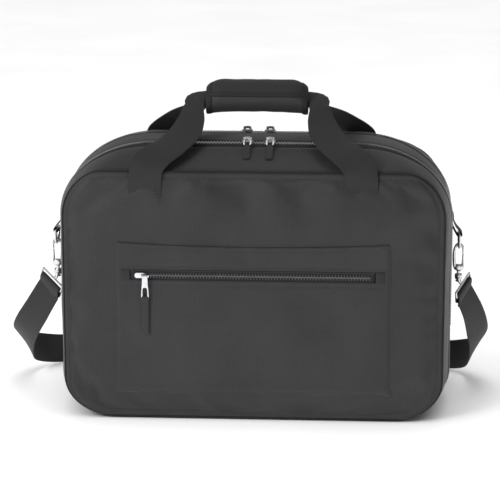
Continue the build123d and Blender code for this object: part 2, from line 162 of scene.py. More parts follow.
def surface(name, down, across, place, material, flip=False):
    """An open surface: place(a, b) gives a point and its uv for each pair of values."""
    rows, uvs = [], []
    for a in down:
        spots = [place(a, b) for b in across]
        rows.append([point for point, _ in spots])
        uvs += [uv for _, uv in spots]
    return woven_sheet(name, rows, uvs, material, flip)


def steps(low, high, count):
    """Evenly spaced values from low to high."""
    return [low + (high - low) * i / count for i in range(count + 1)]


def shell(obj, thickness, offset=-1.0):
    """Give a surface its cloth thickness."""
    mod = obj.modifiers.new("thickness", "SOLIDIFY")
    mod.thickness = thickness
    mod.offset = offset
    mod.use_even_offset = False
    return obj


def smooth_more(obj, levels=1):
    mod = obj.modifiers.new("soft", "SUBSURF")
    mod.levels = levels
    mod.render_levels = levels
    return obj


def bake(obj):
    """Apply every modifier, so that the mesh is final."""
    graph = bpy.context.evaluated_depsgraph_get()
    data = bpy.data.meshes.new_from_object(obj.evaluated_get(graph))
    old = obj.data
    obj.modifiers.clear()
    obj.data = data
    bpy.data.meshes.remove(old)
    return obj


def join(name, objs):
    """Join pieces of one material into one object."""
    base = objs[0]
    graph = bpy.context.evaluated_depsgraph_get()
    built = bmesh.new()
    for o in objs:
        part = bpy.data.meshes.new_from_object(o.evaluated_get(graph))
        part.transform(o.matrix_world)
        built.from_mesh(part)
        bpy.data.meshes.remove(part)
    data = bpy.data.meshes.new(name)
    built.to_mesh(data)
    built.free()
    for m in base.data.materials:
        data.materials.append(m)
    for o in objs:
        bpy.data.objects.remove(o)
    return place_mesh(name, data)


def ripple(point, size, seed):
    """Soft noise, from -1 to 1."""
    return noise.noise(Vector(point) / size + Vector((seed, seed * 0.7, -seed)))


# ---- materials -------------------------------------------------------------------
class Nodes:
    """A short way to write a node tree."""

    def __init__(self, name):
        self.material = bpy.data.materials.new(name)
        self.material.use_nodes = True
        self.tree = self.material.node_tree
        self.shader = self.tree.nodes["Principled BSDF"]

    def add(self, kind, inputs=(), **settings):
        node = self.tree.nodes.new(kind)
        for key, value in settings.items():
            setattr(node, key, value)
        for key, value in dict(inputs).items():
            if isinstance(value, bpy.types.NodeSocket):
                self.tree.links.new(value, node.inputs[key])
            else:
                node.inputs[key].default_value = value
        return node

    def math(self, operation, a, b=0.5):
        return self.add("ShaderNodeMath", {0: a, 1: b}, operation=operation).outputs[0]

    def ramp(self, factor, low, high, start=0.0, end=1.0):
        node = self.add("ShaderNodeValToRGB", {"Fac": factor})
        node.color_ramp.elements[0].position = start
        node.color_ramp.elements[1].position = end
        node.color_ramp.elements[0].color = (*low, 1)
        node.color_ramp.elements[1].color = (*high, 1)
        return node.outputs[0]

    def put(self, **values):
        for key, value in values.items():
            name = key.replace("_", " ")
            if isinstance(value, bpy.types.NodeSocket):
                self.tree.links.new(value, self.shader.inputs[name])
            else:
                self.shader.inputs[name].default_value = value


def woven(name, dark, light, pitch, kind, sheen, rough, relief=0.35):
    """Cloth with its weave in real metres: twill diamonds, webbing ribs or plain tape."""
    n = Nodes(name)
    uv = n.add("ShaderNodeTexCoord").outputs["UV"]
    place = n.add("ShaderNodeTexCoord").outputs["Object"]
    wave = []
    for angle in ((45, -45) if kind == "twill" else (0, 90)):
        turned = n.add("ShaderNodeMapping", {"Vector": uv, "Rotation": (0, 0, radians(angle))})
        scale = 0.31415 / pitch if kind != "ribs" or angle == 0 else 0.31415 / (pitch * 0.45)
        wave.append(n.add("ShaderNodeTexWave", {"Vector": turned.outputs[0], "Scale": scale,
                                                "Distortion": 0.6, "Detail": 1.0}).outputs["Fac"])
    weave = n.math("MULTIPLY", wave[0], wave[1]) if kind == "twill" else n.math("MAXIMUM", wave[0], wave[1])
    fibre = n.add("ShaderNodeTexNoise", {"Vector": place, "Scale": 900.0, "Detail": 3.0}).outputs["Fac"]
    cloud = n.add("ShaderNodeTexNoise", {"Vector": place, "Scale": 14.0, "Detail": 4.0}).outputs["Fac"]
    mixed = n.math("ADD", n.math("MULTIPLY", weave, 0.62), n.math("MULTIPLY", fibre, 0.38))
    tone = n.math("ADD", n.math("MULTIPLY", mixed, 0.72), n.math("MULTIPLY", cloud, 0.28))
    colour = n.ramp(tone, dark, light, 0.18, 0.82)
    bump = n.add("ShaderNodeBump", {"Height": mixed, "Strength": relief, "Distance": 0.35 * MM})
    n.put(Base_Color=colour, Roughness=n.math("ADD", n.math("MULTIPLY", fibre, 0.14), rough),
          Normal=bump.outputs[0])
    n.put(Sheen_Weight=sheen, Sheen_Roughness=0.45)
    n.put(Specular_IOR_Level=0.35)
    return n.material


def metal(name, colour, rough, scratch=0.08):
    """Plated metal with fine handling marks."""
    n = Nodes(name)
    place = n.add("ShaderNodeTexCoord").outputs["Object"]
    grain = n.add("ShaderNodeTexNoise", {"Vector": place, "Scale": 1400.0, "Detail": 4.0}).outputs["Fac"]
    wear = n.add("ShaderNodeTexNoise", {"Vector": place, "Scale": 160.0, "Detail": 5.0}).outputs["Fac"]
    tone = n.ramp(wear, [c * 0.82 for c in colour], colour, 0.3, 0.65)
    bump = n.add("ShaderNodeBump", {"Height": grain, "Strength": scratch, "Distance": 0.1 * MM})
    n.put(Base_Color=tone, Metallic=1.0, Roughness=n.math("ADD", n.math("MULTIPLY", wear, 0.16), rough),
          Normal=bump.outputs[0])
    return n.material


def plain(name, dark, light, rough, scale=300.0):
    """Moulded plastic or thread with a fine grain."""
    n = Nodes(name)
    place = n.add("ShaderNodeTexCoord").outputs["Object"]
    grain = n.add("ShaderNodeTexNoise", {"Vector": place, "Scale": scale, "Detail": 3.0}).outputs["Fac"]
    bump = n.add("ShaderNodeBump", {"Height": grain, "Strength": 0.15, "Distance": 0.2 * MM})
    n.put(Base_Color=n.ramp(grain, dark, light, 0.3, 0.7), Normal=bump.outputs[0],
          Roughness=n.math("ADD", n.math("MULTIPLY", grain, 0.15), rough))
    return n.material


def grey(value, blue=1.06):
    return (value, value * 1.005, value * blue)


FABRIC = woven("twill_cloth", grey(0.011), grey(0.070), 2.1 * MM, "twill", 0.12, 0.52, 0.5)
GRIP_CLOTH = woven("grip_cloth", grey(0.012), grey(0.080), 2.0 * MM, "twill", 0.12, 0.50, 0.5)
WEBBING = woven("handle_webbing", grey(0.007), grey(0.031), 1.6 * MM, "ribs", 0.08, 0.58, 0.7)
STRAP_WEB = woven("strap_webbing", grey(0.006), grey(0.032), 1.6 * MM, "ribs", 0.08, 0.58, 0.7)
BINDING = woven("binding_tape", grey(0.005), grey(0.020), 0.9 * MM, "tape", 0.06, 0.6)
ZIP_TAPE = woven("zip_tape", grey(0.005), grey(0.022), 0.8 * MM, "tape", 0.06, 0.60)
TAB_CLOTH = woven("pull_tab_cloth", grey(0.008), grey(0.040), 1.0 * MM, "ribs", 0.1, 0.55)
LINING = woven("lining_cloth", grey(0.05), grey(0.10), 0.9 * MM, "tape", 0.25, 0.5)
FOAM = plain("foam_sheet", grey(0.05), grey(0.09), 0.8)
BOARD = plain("stiffener", grey(0.02), grey(0.04), 0.5)
PLASTIC = plain("moulded_black", grey(0.010), grey(0.022), 0.38)
THREAD = plain("thread", grey(0.030), grey(0.075), 0.6, 1500.0)
NICKEL = metal("satin_nickel", (0.74, 0.75, 0.77), 0.16)
TEETH_BRIGHT = metal("bright_teeth", (0.42, 0.43, 0.45), 0.34)
TEETH_DARK = metal("black_nickel_teeth", (0.16, 0.16, 0.17), 0.24)
CLOSURE = plain("hook_and_loop", grey(0.01), grey(0.03), 0.9, 900.0)


# ---- the bag's outline ---------------------------------------------------------------
def size_at(y, inset=0.0):
    """Half width, top, bottom and corner radii of the outline at y."""
    taper = min(1.0, max(0.0, (abs(y) - ZIP_Y) / (PANEL_Y - ZIP_Y)))

    def corner(at_zip, at_seam):
        return tuple(a + (b - a) * taper - inset for a, b in zip(at_zip, at_seam))

    return (HALF_WIDTH - SEAM_INSET * taper - inset, TOP_Z - SEAM_DROP * taper - inset,
            SEAM_RAISE * taper + inset, corner(TOP_CORNER, SEAM_TOP_CORNER),
            corner(LOW_CORNER, SEAM_LOW_CORNER))


def loop_at(y, inset=0.0):
    """Points round the outline at y with outward normals, from the bottom's middle to the right."""
    half, top, bottom, high_r, low_r = size_at(y, inset)
    high_x, high_z = half - high_r[0], top - high_r[1]
    low_x, low_z = half - low_r[0], bottom + low_r[1]
    points = []

    def straight(x0, z0, x1, z1, nx, nz, count):
        for i in range(count):
            t = i / count
            points.append((x0 + (x1 - x0) * t, z0 + (z1 - z0) * t, nx, nz))

    def corner(cx, cz, radii, start, count):
        for i in range(count):
            a = radians(start + 90 * i / count)
            facing = Vector((cos(a) / radii[0], sin(a) / radii[1])).normalized()
            points.append((cx + radii[0] * cos(a), cz + radii[1] * sin(a), facing.x, facing.y))

    straight(0, bottom, low_x, bottom, 0, -1, 18)
    corner(low_x, low_z, low_r, -90, 14)
    straight(half, low_z, half, high_z, 1, 0, 24)
    corner(high_x, high_z, high_r, 0, 26)
    straight(high_x, top, -high_x, top, 0, 1, 40)
    corner(-high_x, high_z, high_r, 90, 26)
    straight(-half, high_z, -half, low_z, -1, 0, 24)
    corner(-low_x, low_z, low_r, 180, 14)
    straight(-low_x, bottom, 0, bottom, 0, -1, 18)
    return points


def lengths_of(points):
    """Running length along a list of points."""
    total = [0.0]
    for a, b in zip(points, points[1:]):
        total.append(total[-1] + (Vector(a) - Vector(b)).length)
    return total


def gusset(name, y_front, y_rear, across, crown, seed, thickness=2.2 * MM):
    """A strip of the shell between two planes, bulged between its seams."""
    rows, uvs = [], []
    for k in range(across + 1):
        t = k / across
        y = y_front + (y_rear - y_front) * t
        ring = loop_at(y)
        run = lengths_of([(x, 0, z) for x, z, _, _ in ring])
        row = []
        for (x, z, nx, nz), s in zip(ring, run):
            edge = min(t, 1 - t) * abs(y_rear - y_front)
            lift = crown * (1 - (2 * t - 1) ** 2)
            lift -= 1.3 * MM * max(0.0, 1 - edge / (4 * MM))
            soft = min(1.0, edge / (10 * MM)) * (1.0 if z > 12 * MM else 0.0)
            lift += soft * 1.1 * MM * ripple((x, y * 0.6, z), 0.055, seed)
            lift += soft * 0.5 * MM * ripple((x, y, z), 0.018, seed + 3)
            if z < 12 * MM:
                lift = min(lift, 0.0)
            row.append((x + nx * lift, y, z + nz * lift))
            uvs.append((s, y))
        rows.append(row)
    verts, faces = grid(rows, wrap=True)
    return shell(make(name, verts, [f[::-1] for f in faces], FABRIC, uvs), thickness)


def cut_above(obj, z, keep_above):
    """Drop the faces on one side of a height."""
    with editing(obj) as built:
        bmesh.ops.bisect_plane(built, geom=built.verts[:] + built.edges[:] + built.faces[:],
                               plane_co=(0, 0, z), plane_no=(0, 0, 1),
                               clear_inner=keep_above, clear_outer=not keep_above)
    return obj


# ---- cloth ---------------------------------------------------------------------------
PUFF_STEPS = 20


def puff(obj, pinned, pressure, slack, cap):
    """Cloth simulation of a sheet held at its pinned points, with its result applied."""
    group = obj.vertex_groups.new(name="held")
    group.add(pinned, 1.0, "REPLACE")
    rest = [v.co.copy() for v in obj.data.vertices]
    mod = obj.modifiers.new("cloth", "CLOTH")
    cloth = mod.settings
    cloth.vertex_group_mass = "held"
    cloth.quality = 6
    cloth.mass = 0.35
    cloth.tension_stiffness = 25
    cloth.compression_stiffness = 25
    cloth.shear_stiffness = 12
    cloth.bending_stiffness = 3.0
    cloth.air_damping = 4
    cloth.use_pressure = True
    cloth.uniform_pressure_force = pressure
    cloth.shrink_min = -slack
    cloth.effector_weights.gravity = 0
    mod.collision_settings.use_collision = False
    mod.point_cache.frame_end = 24
    scene = bpy.context.scene
    for step in range(1, PUFF_STEPS + 1):
        scene.frame_set(step)
    graph = bpy.context.evaluated_depsgraph_get()
    result = obj.evaluated_get(graph).to_mesh()
    moved = [v.co.copy() for v in result.vertices]
    obj.evaluated_get(graph).to_mesh_clear()
    obj.modifiers.remove(mod)
    obj.vertex_groups.remove(group)
    for v, old, new in zip(obj.data.vertices, rest, moved):
        step = new - old
        if step.length > cap:
            step = step.normalized() * cap
        v.co = old + step
    scene.frame_set(1)
    return obj


def half_width_at(z, y):
    """How far the outline reaches at height z in the plane y."""
    half, top, bottom, high_r, low_r = size_at(y)
    for (across, tall), rise in ((high_r, z - (top - high_r[1])), (low_r, bottom + low_r[1] - z)):
        if rise > 0:
            share = min(1.0, rise / tall)
            return half - across + across * sqrt(1 - share * share)
    return half


def edge_distance(x, z, y):
    """Roughly how far a point of a panel is from its seam."""
    _, top, bottom, _, _ = size_at(y)
    sideways = half_width_at(z, y) - abs(x)
    upright = min(top - z, z - bottom)
    return max(0.0, min(sideways, upright))


def crowned(d, crown):
    return crown * (1 - (1 - min(1.0, d / CROWN_REACH)) ** 2.2)


def padding(d, crown):
    """How far a panel swells at a distance from its seam, with its topstitch line sunk."""
    swell = crowned(d, crown) + SEAM_SWELL * min(1.0, d / (3 * MM))
    return swell - 1.3 * MM * max(0.0, 1 - abs(d - 7 * MM) / (2.4 * MM))


def panel(name, out, crown, seed, wrinkles):
    """The front or rear panel: a padded sheet, crowned, with its topstitch line sunk."""
    _, top, bottom, _, _ = size_at(PANEL_Y)
    wide, high = 92, 64
    rows, uvs, pinned = [], [], []
    for k in range(high + 1):
        a = k / high
        z = bottom + (top - bottom) * (0.5 - 0.5 * cos(pi * (0.04 + 0.92 * a)) - 0.0039) / 0.9922
        z = min(top, max(bottom, z))
        reach = half_width_at(z, PANEL_Y)
        row = []
        for j in range(wide + 1):
            b = 2 * j / wide - 1
            x = reach * sin(b * pi / 2 * 0.8) / sin(pi / 2 * 0.8)
            d = edge_distance(x, z, PANEL_Y)
            rise = padding(d, crown) + wrinkles(x, z, d)
            rise += min(1.0, d / 0.02) * 0.7 * MM * ripple((x, 0, z), 0.05, seed)
            row.append((x, out * (PANEL_Y + PANEL_GAP + rise), z))
            uvs.append((x, z))
            if d < 9 * MM:
                pinned.append(k * (wide + 1) + j)
        rows.append(row)
    obj = woven_sheet(name, rows, uvs, FABRIC, out > 0)
    puff(obj, pinned, 0.6, 0.012, 3 * MM)
    return obj


def front_wrinkles(x, z, d):
    """Vertical pulls above the pocket and creases beside it."""
    above = max(0.0, min(1.0, (z - 0.232) / 0.03)) * max(0.0, min(1.0, (0.312 - z) / 0.03))
    value = above * 1.8 * MM * sin(x / 0.013 + 2.4 * ripple((x, 0, z), 0.08, 5.0))
    value *= max(0.0, 1 - (abs(x) / 0.125) ** 4)
    side = max(0.0, min(1.0, (abs(x) - 0.172) / 0.01)) * min(1.0, d / 0.012)
    for crease, depth in ((0.165, 1.4), (0.118, 0.9), (0.205, 0.7)):
        bend = crease + 0.010 * ripple((x, 0, 0), 0.05, crease * 40)
        value -= side * depth * MM * max(0.0, 1 - abs(z - bend) / 0.006)
    return value


def rear_wrinkles(x, z, d):
    bend = 0.17 + 0.02 * ripple((x, 0, 0), 0.12, 9.0)
    return -0.8 * MM * max(0.0, 1 - abs(z - bend) / 0.010) * min(1.0, d / 0.03)


def panel_face(x, z):
    """How far the front panel stands out at a point, for what is sewn on it."""
    return PANEL_Y + PANEL_GAP + crowned(edge_distance(x, z, PANEL_Y), PANEL_CROWN) + SEAM_SWELL


def shell_pieces():
    """Panels and gussets."""
    front = panel("front_panel_cloth", -1, PANEL_CROWN, 2.0, front_wrinkles)
    shell(front, PANEL_CLOTH)
    bake(front)
    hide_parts("front_panel", "front_panel_base")
    fold_blend(front)

    for out, name in ((-1, "front_piping"), (1, "rear_piping")):
        ring = [(x, out * (PANEL_Y + 0.5 * MM), z) for x, z, _, _ in loop_at(PANEL_Y, 0.4 * MM)]
        cord = tube(name, ring, [1.25 * MM] * len(ring), BINDING, closed=True, per=1, around=8)
        if out > 0:
            finish_piece(cord, "root")
            continue
        fold_blend(cord)

    rear = panel("rear_panel_cloth", 1, PANEL_CROWN, 7.0, rear_wrinkles)
    shell(rear, PANEL_CLOTH)
    finish_piece(rear, "root", ["rear_panel"])

    strip = gusset("front_gusset_cloth", -PANEL_Y, -TAPE_EDGE + 0.4 * MM, 10, 1.6 * MM, 11.0)
    bake(strip)
    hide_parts("front_gusset", "front_gusset_base")
    fold_blend(strip)

    middle = gusset("mid_gusset_cloth", -MID_EDGE, MID_EDGE, 10, 0.9 * MM, 13.0)
    finish_piece(middle, "root", ["mid_gusset"])
    rear_strip = gusset("rear_gusset_cloth", TAPE_EDGE - 0.4 * MM, PANEL_Y, 10, 1.6 * MM, 17.0)
    finish_piece(rear_strip, "root", ["rear_gusset"])
    for side, name in ((-1, "front"), (1, "rear")):
        edges = sorted((side * (TAPE_EDGE - 0.4 * MM), side * MID_EDGE))
        low = gusset(name + "_zip_foot", edges[0], edges[1], 6, 0.4 * MM, 19.0)
        cut_above(low, FOLD_Z, False)
        finish_piece(low, "root")


# ---- zips ------------------------------------------------------------------------------
def arch(y, inset, count):
    """Evenly spaced (point, normal, length) over the sides and top, from fold to fold."""
    half, top, _, (across, tall), _ = size_at(y, inset)
    fine = [(Vector((half, y, FOLD_Z + 0.5 * MM)), Vector((1, 0, 0)))]
    for i in range(61):
        a = pi / 2 * i / 60
        fine.append((Vector((half - across + across * cos(a), y, top - tall + tall * sin(a))),
                     Vector((cos(a) / across, 0, sin(a) / tall)).normalized()))
    fine += [(Vector((-p.x, y, p.z)), Vector((-n.x, 0, n.z))) for p, n in fine[::-1]]
    run = lengths_of([p for p, _ in fine])
    found = []
    k = 0
    for i in range(count + 1):
        s = run[-1] * i / count
        while k < len(run) - 2 and run[k + 1] < s:
            k += 1
        f = (s - run[k]) / (run[k + 1] - run[k])
        found.append((fine[k][0].lerp(fine[k + 1][0], f), fine[k][1].lerp(fine[k + 1][1], f).normalized(), s))
    return found


def tape(name, y_a, y_b, body, replaces):
    """One zip tape, rolled up a little beside the teeth."""
    def spot(t, i):
        y = y_a + (y_b - y_a) * t
        point, normal, s = routes[t][i]
        return point + normal * (0.5 * MM * sin(pi * t)), (s, y)
    shares = [k / 6 for k in range(7)]
    routes = {t: arch(y_a + (y_b - y_a) * t, 0.9 * MM, 150) for t in shares}
    obj = shell(surface(name, shares, range(151), spot, ZIP_TAPE, True), 0.9 * MM)
    return finish_piece(obj, body, replaces)


def tooth(length, reach, high):
    """One moulded tooth: a rounded bar with a swollen nose, along +Y from y = 0."""
    profile = [(0.0, 0.62), (0.35, 0.55), (0.62, 0.85), (0.85, 1.0), (1.0, 0.62)]
    verts, faces = [], []
    for y, w in profile:
        for x, z in ((-0.5, 0), (-0.5, 0.7), (-0.2, 1), (0.2, 1), (0.5, 0.7), (0.5, 0)):
            verts.append(Vector((x * length * w, y * reach, z * high)))
    for i in range(len(profile) - 1):
        for j in range(6):
            a = i * 6 + j
            b = i * 6 + (j + 1) % 6
            faces.append((a, a + 6, b + 6, b))
    faces.append(tuple(range(5, -1, -1))[::-1])
    last = 6 * (len(profile) - 1)
    faces.append(tuple(range(last + 5, last - 1, -1)))
    return verts, faces


def teeth(name, places, length, reach, high, material, body, replaces):
    """A row of teeth. places holds (point, along, towards the other row, outwards)."""
    base, base_faces = tooth(length, reach, high)
    verts, faces = [], []
    for point, along, towards, out in places:
        start = len(verts)
        verts += [point + along * v.x + towards * v.y + out * v.z for v in base]
        faces += [tuple(start + i for i in f) for f in base_faces]
    obj = recalc(make(name, verts, faces, material, smooth=False))
    return finish_piece(obj, body, replaces)


TOOTH_COUNT = 228
TEETH_OFFSET = 2.4 * MM


def arch_teeth(name, y, towards, shift, body, replaces):
    places = []
    spots = arch(y, 0.2 * MM, TOOTH_COUNT)
    for i in range(1, len(spots) - 1):
        point, normal, _ = spots[i]
        along = (spots[i + 1][0] - spots[i - 1][0]).normalized()
        half_step = (spots[i + 1][0] - point) * shift
        places.append((point + half_step, along, Vector((0, towards, 0)), normal))
    teeth(name, places, 2.3 * MM, 3.4 * MM, 1.5 * MM, TEETH_BRIGHT, body, replaces)


def main_zips():
    """Tapes and teeth of the two compartment zips."""
    inner, outer = MID_EDGE, TAPE_EDGE
    tape("front_zip_tape_a", -outer, -ZIP_Y - 0.2 * MM, "front_cover", ["zip1_front_tape"])
    tape("front_zip_tape_b", -ZIP_Y + 0.2 * MM, -inner, "root", ["zip1_rear_tape"])
    tape("rear_zip_tape_a", inner, ZIP_Y - 0.2 * MM, "root", ["zip2_tapes"])
    tape("rear_zip_tape_b", ZIP_Y + 0.2 * MM, outer, "root", [])
    for name, y, front_body, nodes in (
        ("front_zip_teeth", -ZIP_Y, "front_cover", ("zip1_front_teeth", "zip1_rear_teeth")),
        ("rear_zip_teeth", ZIP_Y, "root", ("zip2_teeth",)),
    ):
        arch_teeth(name + "_a", y - TEETH_OFFSET, 1, 0.0, front_body, [nodes[0]])
        arch_teeth(name + "_b", y + TEETH_OFFSET, -1, 0.5, "root", [nodes[-1]])


# ---- ribbons: webbing, tabs and straps -----------------------------------------------
def spline(values, t):
    """Catmull-Rom through a list of vectors, t from 0 to len - 1."""
    i = min(int(t), len(values) - 2)
    f = t - i
    p1, p2 = values[i], values[i + 1]
    p0 = values[i - 1] if i > 0 else p1 * 2 - p2
    p3 = values[i + 2] if i + 2 < len(values) else p2 * 2 - p1
    return 0.5 * (2 * p1 + (p2 - p0) * f + (2 * p0 - 5 * p1 + 4 * p2 - p3) * f * f
                  + (3 * p1 - p0 - 3 * p2 + p3) * f ** 3)


def ribbon(name, stations, material, per=6, cup=0.0, edge=0.35 * MM):
    """Webbing through (centre, width vector, width, thickness) stations."""
    centres = [Vector(s[0]) for s in stations]
    sides = [Vector(s[1]).normalized() for s in stations]
    sizes = [Vector((s[2], s[3], 0)) for s in stations]
    total = (len(stations) - 1) * per
    lanes = [-1, -0.97, -0.8, -0.5, 0, 0.5, 0.8, 0.97, 1]
    path = []
    for i in range(total + 1):
        t = i / per
        path.append((spline(centres, t), spline(sides, t), spline(sizes, t)))
    run = lengths_of([p[0] for p in path])
    rows, uvs = [], []
    for i, (centre, side, size) in enumerate(path):
        ahead = (path[min(i + 1, total)][0] - path[max(i - 1, 0)][0]).normalized()
        side = (side - ahead * side.dot(ahead)).normalized()
        out = ahead.cross(side)
        row = []
        for face in (1, -1):
            for lane in (lanes if face == 1 else lanes[::-1]):
                thin = size.y / 2 - (edge if abs(lane) > 0.9 else 0)
                lift = cup * (lane * lane - 0.4)
                row.append(centre + side * (lane * size.x / 2) + out * (face * thin + lift))
                uvs.append((lane * size.x / 2 + 0.1 * face, run[i]))
        rows.append(row)
    verts, faces = grid(rows, wrap=True)
    wide = len(rows[0])
    faces.append(tuple(range(wide - 1, -1, -1)))
    faces.append(tuple(range(total * wide, total * wide + wide)))
    return recalc(make(name, verts, faces, material, uvs)), path


WEB = 40 * MM
WEB_THICK = 2 * MM
LEG_X = 131 * MM


# between the sewn legs and the grip, in mm: centre, outward normal, width, thickness
FRONT_ROUTE = [
    (130.5, 103.9, 308, (0, 1, 0.1), 40, 2),
    (127.5, 100.5, 321, (0, 0.88, 0.47), 40, 2),
    (116.5, 91, 331.5, (0, 0.66, 0.75), 40, 2),
    (101, 73, 339.5, (0, 0.5, 0.86), 40, 2),
    (87, 49, 351, (0, 0.5, 0.86), 40, 2),
    (80.5, 30, 364, (0, 0.5, 0.86), 34, 2),
    (77, 15, 380, (0, 0.4, 0.91), 25, 2.6),
]
REAR_ROUTE = [
    (130.5, 103.5, 311, (0, 1, 0.15), 40, 2),
    (128, 96, 325.5, (0, 0.75, 0.65), 40, 2),
    (120, 81.5, 337.5, (0, 0.55, 0.83), 40, 2),
    (107, 61, 349.5, (0, 0.5, 0.86), 40, 2),
    (91, 37, 363, (0, 0.5, 0.86), 36, 2),
    (76, 13, 374.5, (0, 0.35, 0.93), 25, 2.6),
]


def loop_stations(front):
    """The handle's route: up a sewn leg, over to the grip, through it and down again."""
    out = -1.0 if front else 1.0
    run_z = GRIP_Z if front else 379.5 * MM
    lean = atan2(-FOLD_Y, GRIP_Z - FOLD_Z) if front else 0.0
    low = 226 * MM
    legs = []
    for z in (low, 247 * MM, 268 * MM, 290 * MM):
        legs.append((LEG_X, panel_face(LEG_X, z) + 0.8 * MM, z, (0, 1, 0), WEB, WEB_THICK))
    for x, y, z, normal, width, thick in FRONT_ROUTE if front else REAR_ROUTE:
        legs.append((x * MM, y * MM, z * MM, normal, width * MM, thick * MM))
    legs.append((64 * MM, 0, run_z, (0, -sin(lean) * out, cos(lean)), 0.024, 3 * MM))
    stations = []
    for side in (1, -1):
        half = []
        for i, (x, y, z, normal, width, thick) in enumerate(legs):
            a = legs[max(i - 1, 0)]
            b = legs[min(i + 1, len(legs) - 1)]
            ahead = Vector((side * (b[0] - a[0]), out * (b[1] - a[1]), b[2] - a[2]))
            if i == len(legs) - 1:
                ahead = Vector((-side, 0, 0))
            across = ahead.cross(Vector((normal[0], out * normal[1], normal[2])))
            half.append([Vector((side * x, out * y, z)), across.normalized(), width, thick])
        stations += half if side == 1 else half[::-1]
    for before, after in zip(stations, stations[1:]):
        if after[1].dot(before[1]) < 0:
            after[1] = -after[1]
    return stations


def handles():
    for front, name, body in ((True, "front_handle", "front_cover"), (False, "rear_handle", "root")):
        obj, _ = ribbon(name + "_web", loop_stations(front), WEBBING, 8, 0.5 * MM)
        finish_piece(obj, body, [name])


# ---- stitches ---------------------------------------------------------------------------
def stitches(name, lines, body, length=2.6 * MM, gap=1.1 * MM, radius=0.33 * MM):
    """Rows of thread. Each line is a list of (point, outward normal)."""
    verts, faces = [], []
    for line in lines:
        run = lengths_of([p for p, _ in line])
        s = gap
        while s + length < run[-1]:
            ends = []
            for target in (s, s + length / 2, s + length):
                i = max(k for k in range(len(run)) if run[k] <= target)
                i = min(i, len(line) - 2)
                f = (target - run[i]) / max(run[i + 1] - run[i], 1e-9)
                p = Vector(line[i][0]).lerp(Vector(line[i + 1][0]), f)
                n = Vector(line[i][1]).lerp(Vector(line[i + 1][1]), f).normalized()
                ends.append((p, n))
            s += length + gap
            along = (ends[2][0] - ends[0][0]).normalized()
            start = len(verts)
            for (p, n), lift, r in ((ends[0], -0.2, 0.55), (ends[1], 0.5, 1.0), (ends[2], -0.2, 0.55)):
                side = along.cross(n).normalized()
                for a in range(5):
                    c = cos(2 * pi * a / 5) * radius * r
                    d = sin(2 * pi * a / 5) * radius * r
                    verts.append(p + n * (lift * radius + c) + side * d)
            for ring in (0, 5):
                for a in range(5):
                    b = (a + 1) % 5
                    near, far = start + ring, start + ring + 5
                    faces.append((near + a, near + b, far + b, far + a))
            faces.append(tuple(start + a for a in range(4, -1, -1)))
            faces.append(tuple(start + 10 + a for a in range(5)))
    obj = recalc(make(name, verts, faces, THREAD))
    if body:
        finish_piece(obj, body)
    return obj


# ---- small sewn and moulded shapes --------------------------------------------------------
def recalc(obj):
    """Point every face outwards."""
    with editing(obj) as built:
        bmesh.ops.recalc_face_normals(built, faces=built.faces[:])
    return obj


def pad_block(name, low, high, material, bulge=0.15, round_to=0.3, seg=10):
    """A small stuffed or moulded block with rounded edges between two corners."""
    low, high = Vector(low), Vector(high)
    centre, half = (low + high) / 2, (high - low) / 2
    built = bmesh.new()
    bmesh.ops.create_cube(built, size=2.0)
    bmesh.ops.subdivide_edges(built, edges=built.edges[:], cuts=seg, use_grid_fill=True)
    least = min(half)
    radius = least * round_to
    for v in built.verts:
        unit = v.co.copy()
        point = Vector([unit[i] * half[i] for i in range(3)])
        core = Vector([max(-half[i] + radius, min(half[i] - radius, point[i])) for i in range(3)])
        away = point - core
        if away.length > 1e-9:
            point = core + away.normalized() * radius
        swell = (1 - unit.x ** 2) * (1 - unit.z ** 2)
        point.y += unit.y * bulge * half.y * swell
        v.co = centre + point
    data = bpy.data.meshes.new(name)
    built.to_mesh(data)
    built.free()
    return place_mesh(name, data, material)


def tube(name, points, radii, material, closed=False, per=6, around=14, flat=1.0):
    """A bent bar through points, with its own radius at each."""
    places = [Vector(p) for p in points]
    sizes = [Vector((r, 0, 0)) for r in radii]
    if closed:
        places = places[-1:] + places + places[:2]
        sizes = sizes[-1:] + sizes + sizes[:2]
        samples = [per + i for i in range((len(points)) * per)]
    else:
        samples = range((len(points) - 1) * per + 1)
    path = [(spline(places, i / per), spline(sizes, i / per).x) for i in samples]
    count = len(path)
    rows = []
    side = None
    for i, (centre, radius) in enumerate(path):
        before = path[i - 1][0] if i or closed else centre
        after = path[(i + 1) % count][0] if i + 1 < count or closed else centre
        ahead = (after - before).normalized()
        if side is None:
            side = ahead.orthogonal().normalized()
            if abs(ahead.y) < 0.9:
                side = (Vector((0, 1, 0)) - ahead * ahead.y).normalized()
        side = (side - ahead * side.dot(ahead)).normalized()
        up = ahead.cross(side)
        rows.append([centre + side * (cos(2 * pi * a / around) * radius * flat)
                     + up * (sin(2 * pi * a / around) * radius) for a in range(around)])
    if closed:
        rows.append(rows[0])
    verts, faces = grid(rows, wrap=True)
    if not closed:
        faces.append(tuple(range(around - 1, -1, -1)))
        last = (len(rows) - 1) * around
        faces.append(tuple(range(last, last + around)))
    obj = make(name, verts, faces, material)
    if closed:
        with editing(obj) as built:
            bmesh.ops.remove_doubles(built, verts=built.verts[:], dist=1e-6)
    return recalc(obj)


